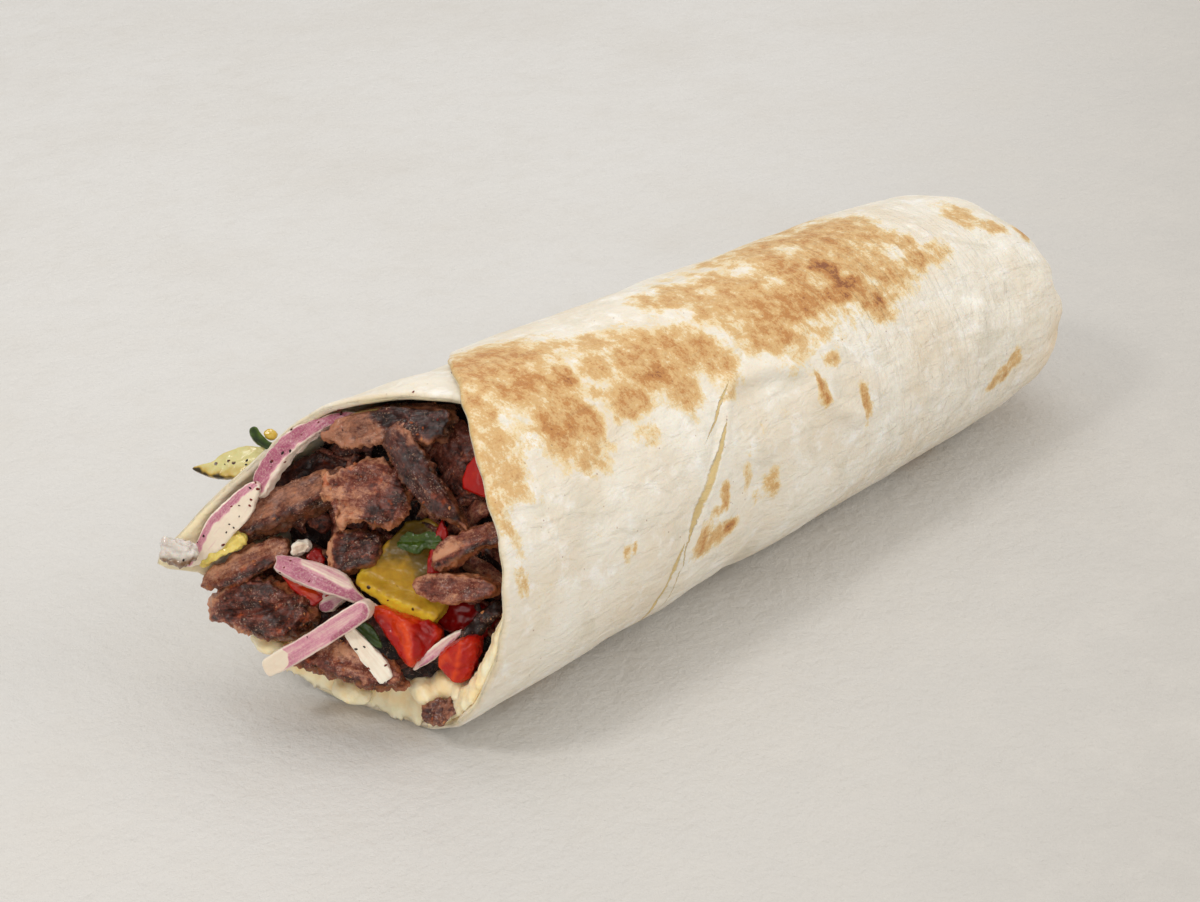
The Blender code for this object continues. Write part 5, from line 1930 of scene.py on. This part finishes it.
@dataclass(frozen=True)
class Specks:
    """Small bits that cling to the fronts of other pieces.

    Attributes:
        name: What they are called.
        slot: The finish slot that they share.
        finish: Their finish.
        hosts: The pieces they cling to, and how many cling to each.
        size: The smallest and the largest, in millimetres.
        seed: Fixes where they fall.
    """

    name: str
    slot: str
    finish: SpeckFinish
    hosts: tuple[tuple[str, int], ...]
    size: Pair
    seed: int

    def landing(self, mesh: Mesh, table: np.ndarray, normals: np.ndarray) -> np.ndarray:
        """Where bits can land on a host.

        Args:
            mesh: The host's mesh.
            table: Its vertices.
            normals: Its vertex normals.

        Returns:
            The numbers of the vertices that face the mouth, or on the bread of those on its upper rim.
        """
        if "rim" not in mesh.attributes:
            return np.flatnonzero(normals @ np.array(TOWARDS_MOUTH) > FACES_MOUTH)
        rim = np.zeros(len(table))
        mesh.attributes["rim"].data.foreach_get("value", rim)
        y, z = table[:, 1] / MM, table[:, 2] / MM
        return np.flatnonzero((rim < RIM_WIDTH) & (z > RIM_FOOT) & (y > RIM_NEAR))

    def build(self) -> Object:
        """Scatters and dresses the bits.

        Returns:
            The new object.
        """
        rng = random.Random(self.seed)
        bm = bmesh.new()
        for host, count in self.hosts:
            mesh = bpy.data.objects[host].data
            table, normals = vertex_table(mesh), normal_table(mesh)
            choices = self.landing(mesh, table, normals)
            for _ in range(count):
                spot = int(choices[rng.randrange(len(choices))])
                size = rng.uniform(*self.size) * MM
                spin = Vector(normals[spot]).to_track_quat("Z", "Y").to_matrix()
                turn = spin @ Matrix.Rotation(rng.uniform(0, math.tau), 3, "Z")
                made = bmesh.ops.create_icosphere(bm, subdivisions=2, radius=size / 2)["verts"]
                for vert in made:
                    bent = vert.co * (1 + 0.5 * noise(vert.co / size * 2.2 + Vector((spot % 97, 0, 0))))
                    flat = Vector((bent.x * 1.3, bent.y * 0.8, bent.z * 0.55))
                    vert.co = turn @ flat + Vector(table[spot])
        return show(self.name, mesh_from(bm, self.name), self.finish.material(), self.slot)


SPECKS = (
    Specks("spice_flecks", "spice", SpeckFinish("ground spice", (112, 26, 14), (34, 18, 16)), (
        ("cucumber_slice_piece", 11), ("onion_slab_piece", 16), ("onion_arch_piece", 12), ("onion_mid_piece", 4),
        ("onion_strip_white_piece", 4), ("pepper_yellow_piece", 4), ("fat_nub_piece", 2), ("onion_baton_piece", 1),
        ("meat_roof_piece", 4), ("tomato_flap_piece", 2), ("hummus_spread", 5), ("bread_sheet", 12),
    ), (0.3, 0.68), 7),
    Specks("meat_crumbs", "meat", SpeckFinish("roasted crumbs", (186, 122, 76), (140, 70, 36)), (
        ("meat_centre_piece", 8), ("meat_roof_piece", 12), ("meat_arm_piece", 5), ("meat_ledge_piece", 18),
        ("meat_knuckle_piece", 14), ("meat_tongue_piece", 5), ("meat_block_piece", 5), ("meat_wedge_piece", 6),
        ("meat_char_piece", 6), ("meat_nub_piece", 3),
    ), (0.3, 0.75), 11),
)


# ---- Studio ----


@dataclass(frozen=True)
class Lamp:
    """One soft square light that looks at the wrap.

    Attributes:
        name: The light's name.
        place: Where it stands, in metres.
        size: Its side, in metres.
        power: Its power in watts.
        colour: Its linear colour, from 0 to 1.
    """

    name: str
    place: Triple
    size: float
    power: float
    colour: Triple

    def build(self) -> None:
        """Adds the light."""
        lamp = bpy.data.lights.new(self.name, "AREA")
        lamp.size = self.size
        lamp.energy = self.power
        lamp.color = self.colour
        back = Vector(self.place) - Vector((0, 0, 0.03))
        put_in_scene(self.name, lamp, Vector(self.place), back)


@dataclass
class Studio:
    """The floor, the soft lights and the camera.

    Attributes:
        azimuth: Degrees that the camera is turned from the near side.
        elevation: Degrees that it is above the floor.
        lens: Its focal length in millimetres.
        sensor: Width of its sensor in millimetres.
        distance: How far it is from what it looks at, in metres.
        aim: What it looks at, in metres.
        floor: Half the floor's side, in metres.
        sky: Linear colour of the soft light from all round.
        sky_strength: How strong that light is.
        lamps: The lights.
    """

    azimuth: float = -47.0
    elevation: float = 28.0
    lens: float = 75.0
    sensor: float = 36.0
    distance: float = 0.557
    aim: Triple = (-0.0203, 0.0039, 0.029)
    floor: float = 3.0
    sky: Triple = (1.0, 0.975, 0.935)
    sky_strength: float = 0.61
    lamps: tuple[Lamp, ...] = (
        Lamp("key", (0.5, 0.75, 1.0), 0.8, 2.1, (0.97, 0.98, 1.0)),
        Lamp("fill", (-0.95, -0.8, 0.5), 0.8, 3.1, (1.0, 0.985, 0.96)),
        Lamp("side", (0.9, -1.2, 1.0), 1.0, 8.0, (1.0, 0.985, 0.96)),
        Lamp("top", (0.1, 0.1, 1.4), 1.0, 3.2, (1.0, 0.99, 0.97)),
        Lamp("glint", (-0.7, 0.1, 0.8), 0.18, 2.5, (1.0, 0.98, 0.95)),
    )

    def camera(self) -> None:
        """Places the camera."""
        turn, lift = math.radians(self.azimuth), math.radians(self.elevation)
        back = Vector((math.sin(turn) * math.cos(lift), -math.cos(turn) * math.cos(lift), math.sin(lift)))
        lens = bpy.data.cameras.new("camera")
        lens.lens = self.lens
        lens.sensor_width = self.sensor
        lens.clip_start = 0.01
        bpy.context.scene.camera = put_in_scene("camera", lens, Vector(self.aim) + back * self.distance, back)

    def build(self) -> None:
        """Sets up the floor, lights, world and camera."""
        self.camera()
        bm = bmesh.new()
        bmesh.ops.create_grid(bm, x_segments=2, y_segments=2, size=self.floor)
        ground = bpy.data.meshes.new("floor")
        bm.to_mesh(ground)
        bm.free()
        ground.materials.append(FloorFinish().material())
        put_in_scene("floor", ground)
        for lamp in self.lamps:
            lamp.build()
        world = bpy.data.worlds.new("studio")
        world.use_nodes = True
        sky = world.node_tree.nodes["Background"]
        sky.inputs["Color"].default_value = (*self.sky, 1)
        sky.inputs["Strength"].default_value = self.sky_strength
        bpy.context.scene.world = world
        bpy.context.scene.view_settings.view_transform = "Standard"


def main() -> None:
    """Builds the wrap's pieces in order, and the studio round them."""
    logging.basicConfig(level=logging.INFO, format="%(name)s %(message)s", stream=sys.stdout)
    Studio().build()
    Flatbread().build()
    Hummus().build()
    materials = {food: finish.material() for food, finish in FINISHES.items()}
    PackedFilling().build(materials[Food.DARK_MEAT])
    Shreds().build(materials[Food.MEAT])
    for piece in (*CUTS, *CHUNKS):
        piece.build(materials[piece.food])
    for specks in SPECKS:
        specks.build()


if __name__ == "__main__":
    main()
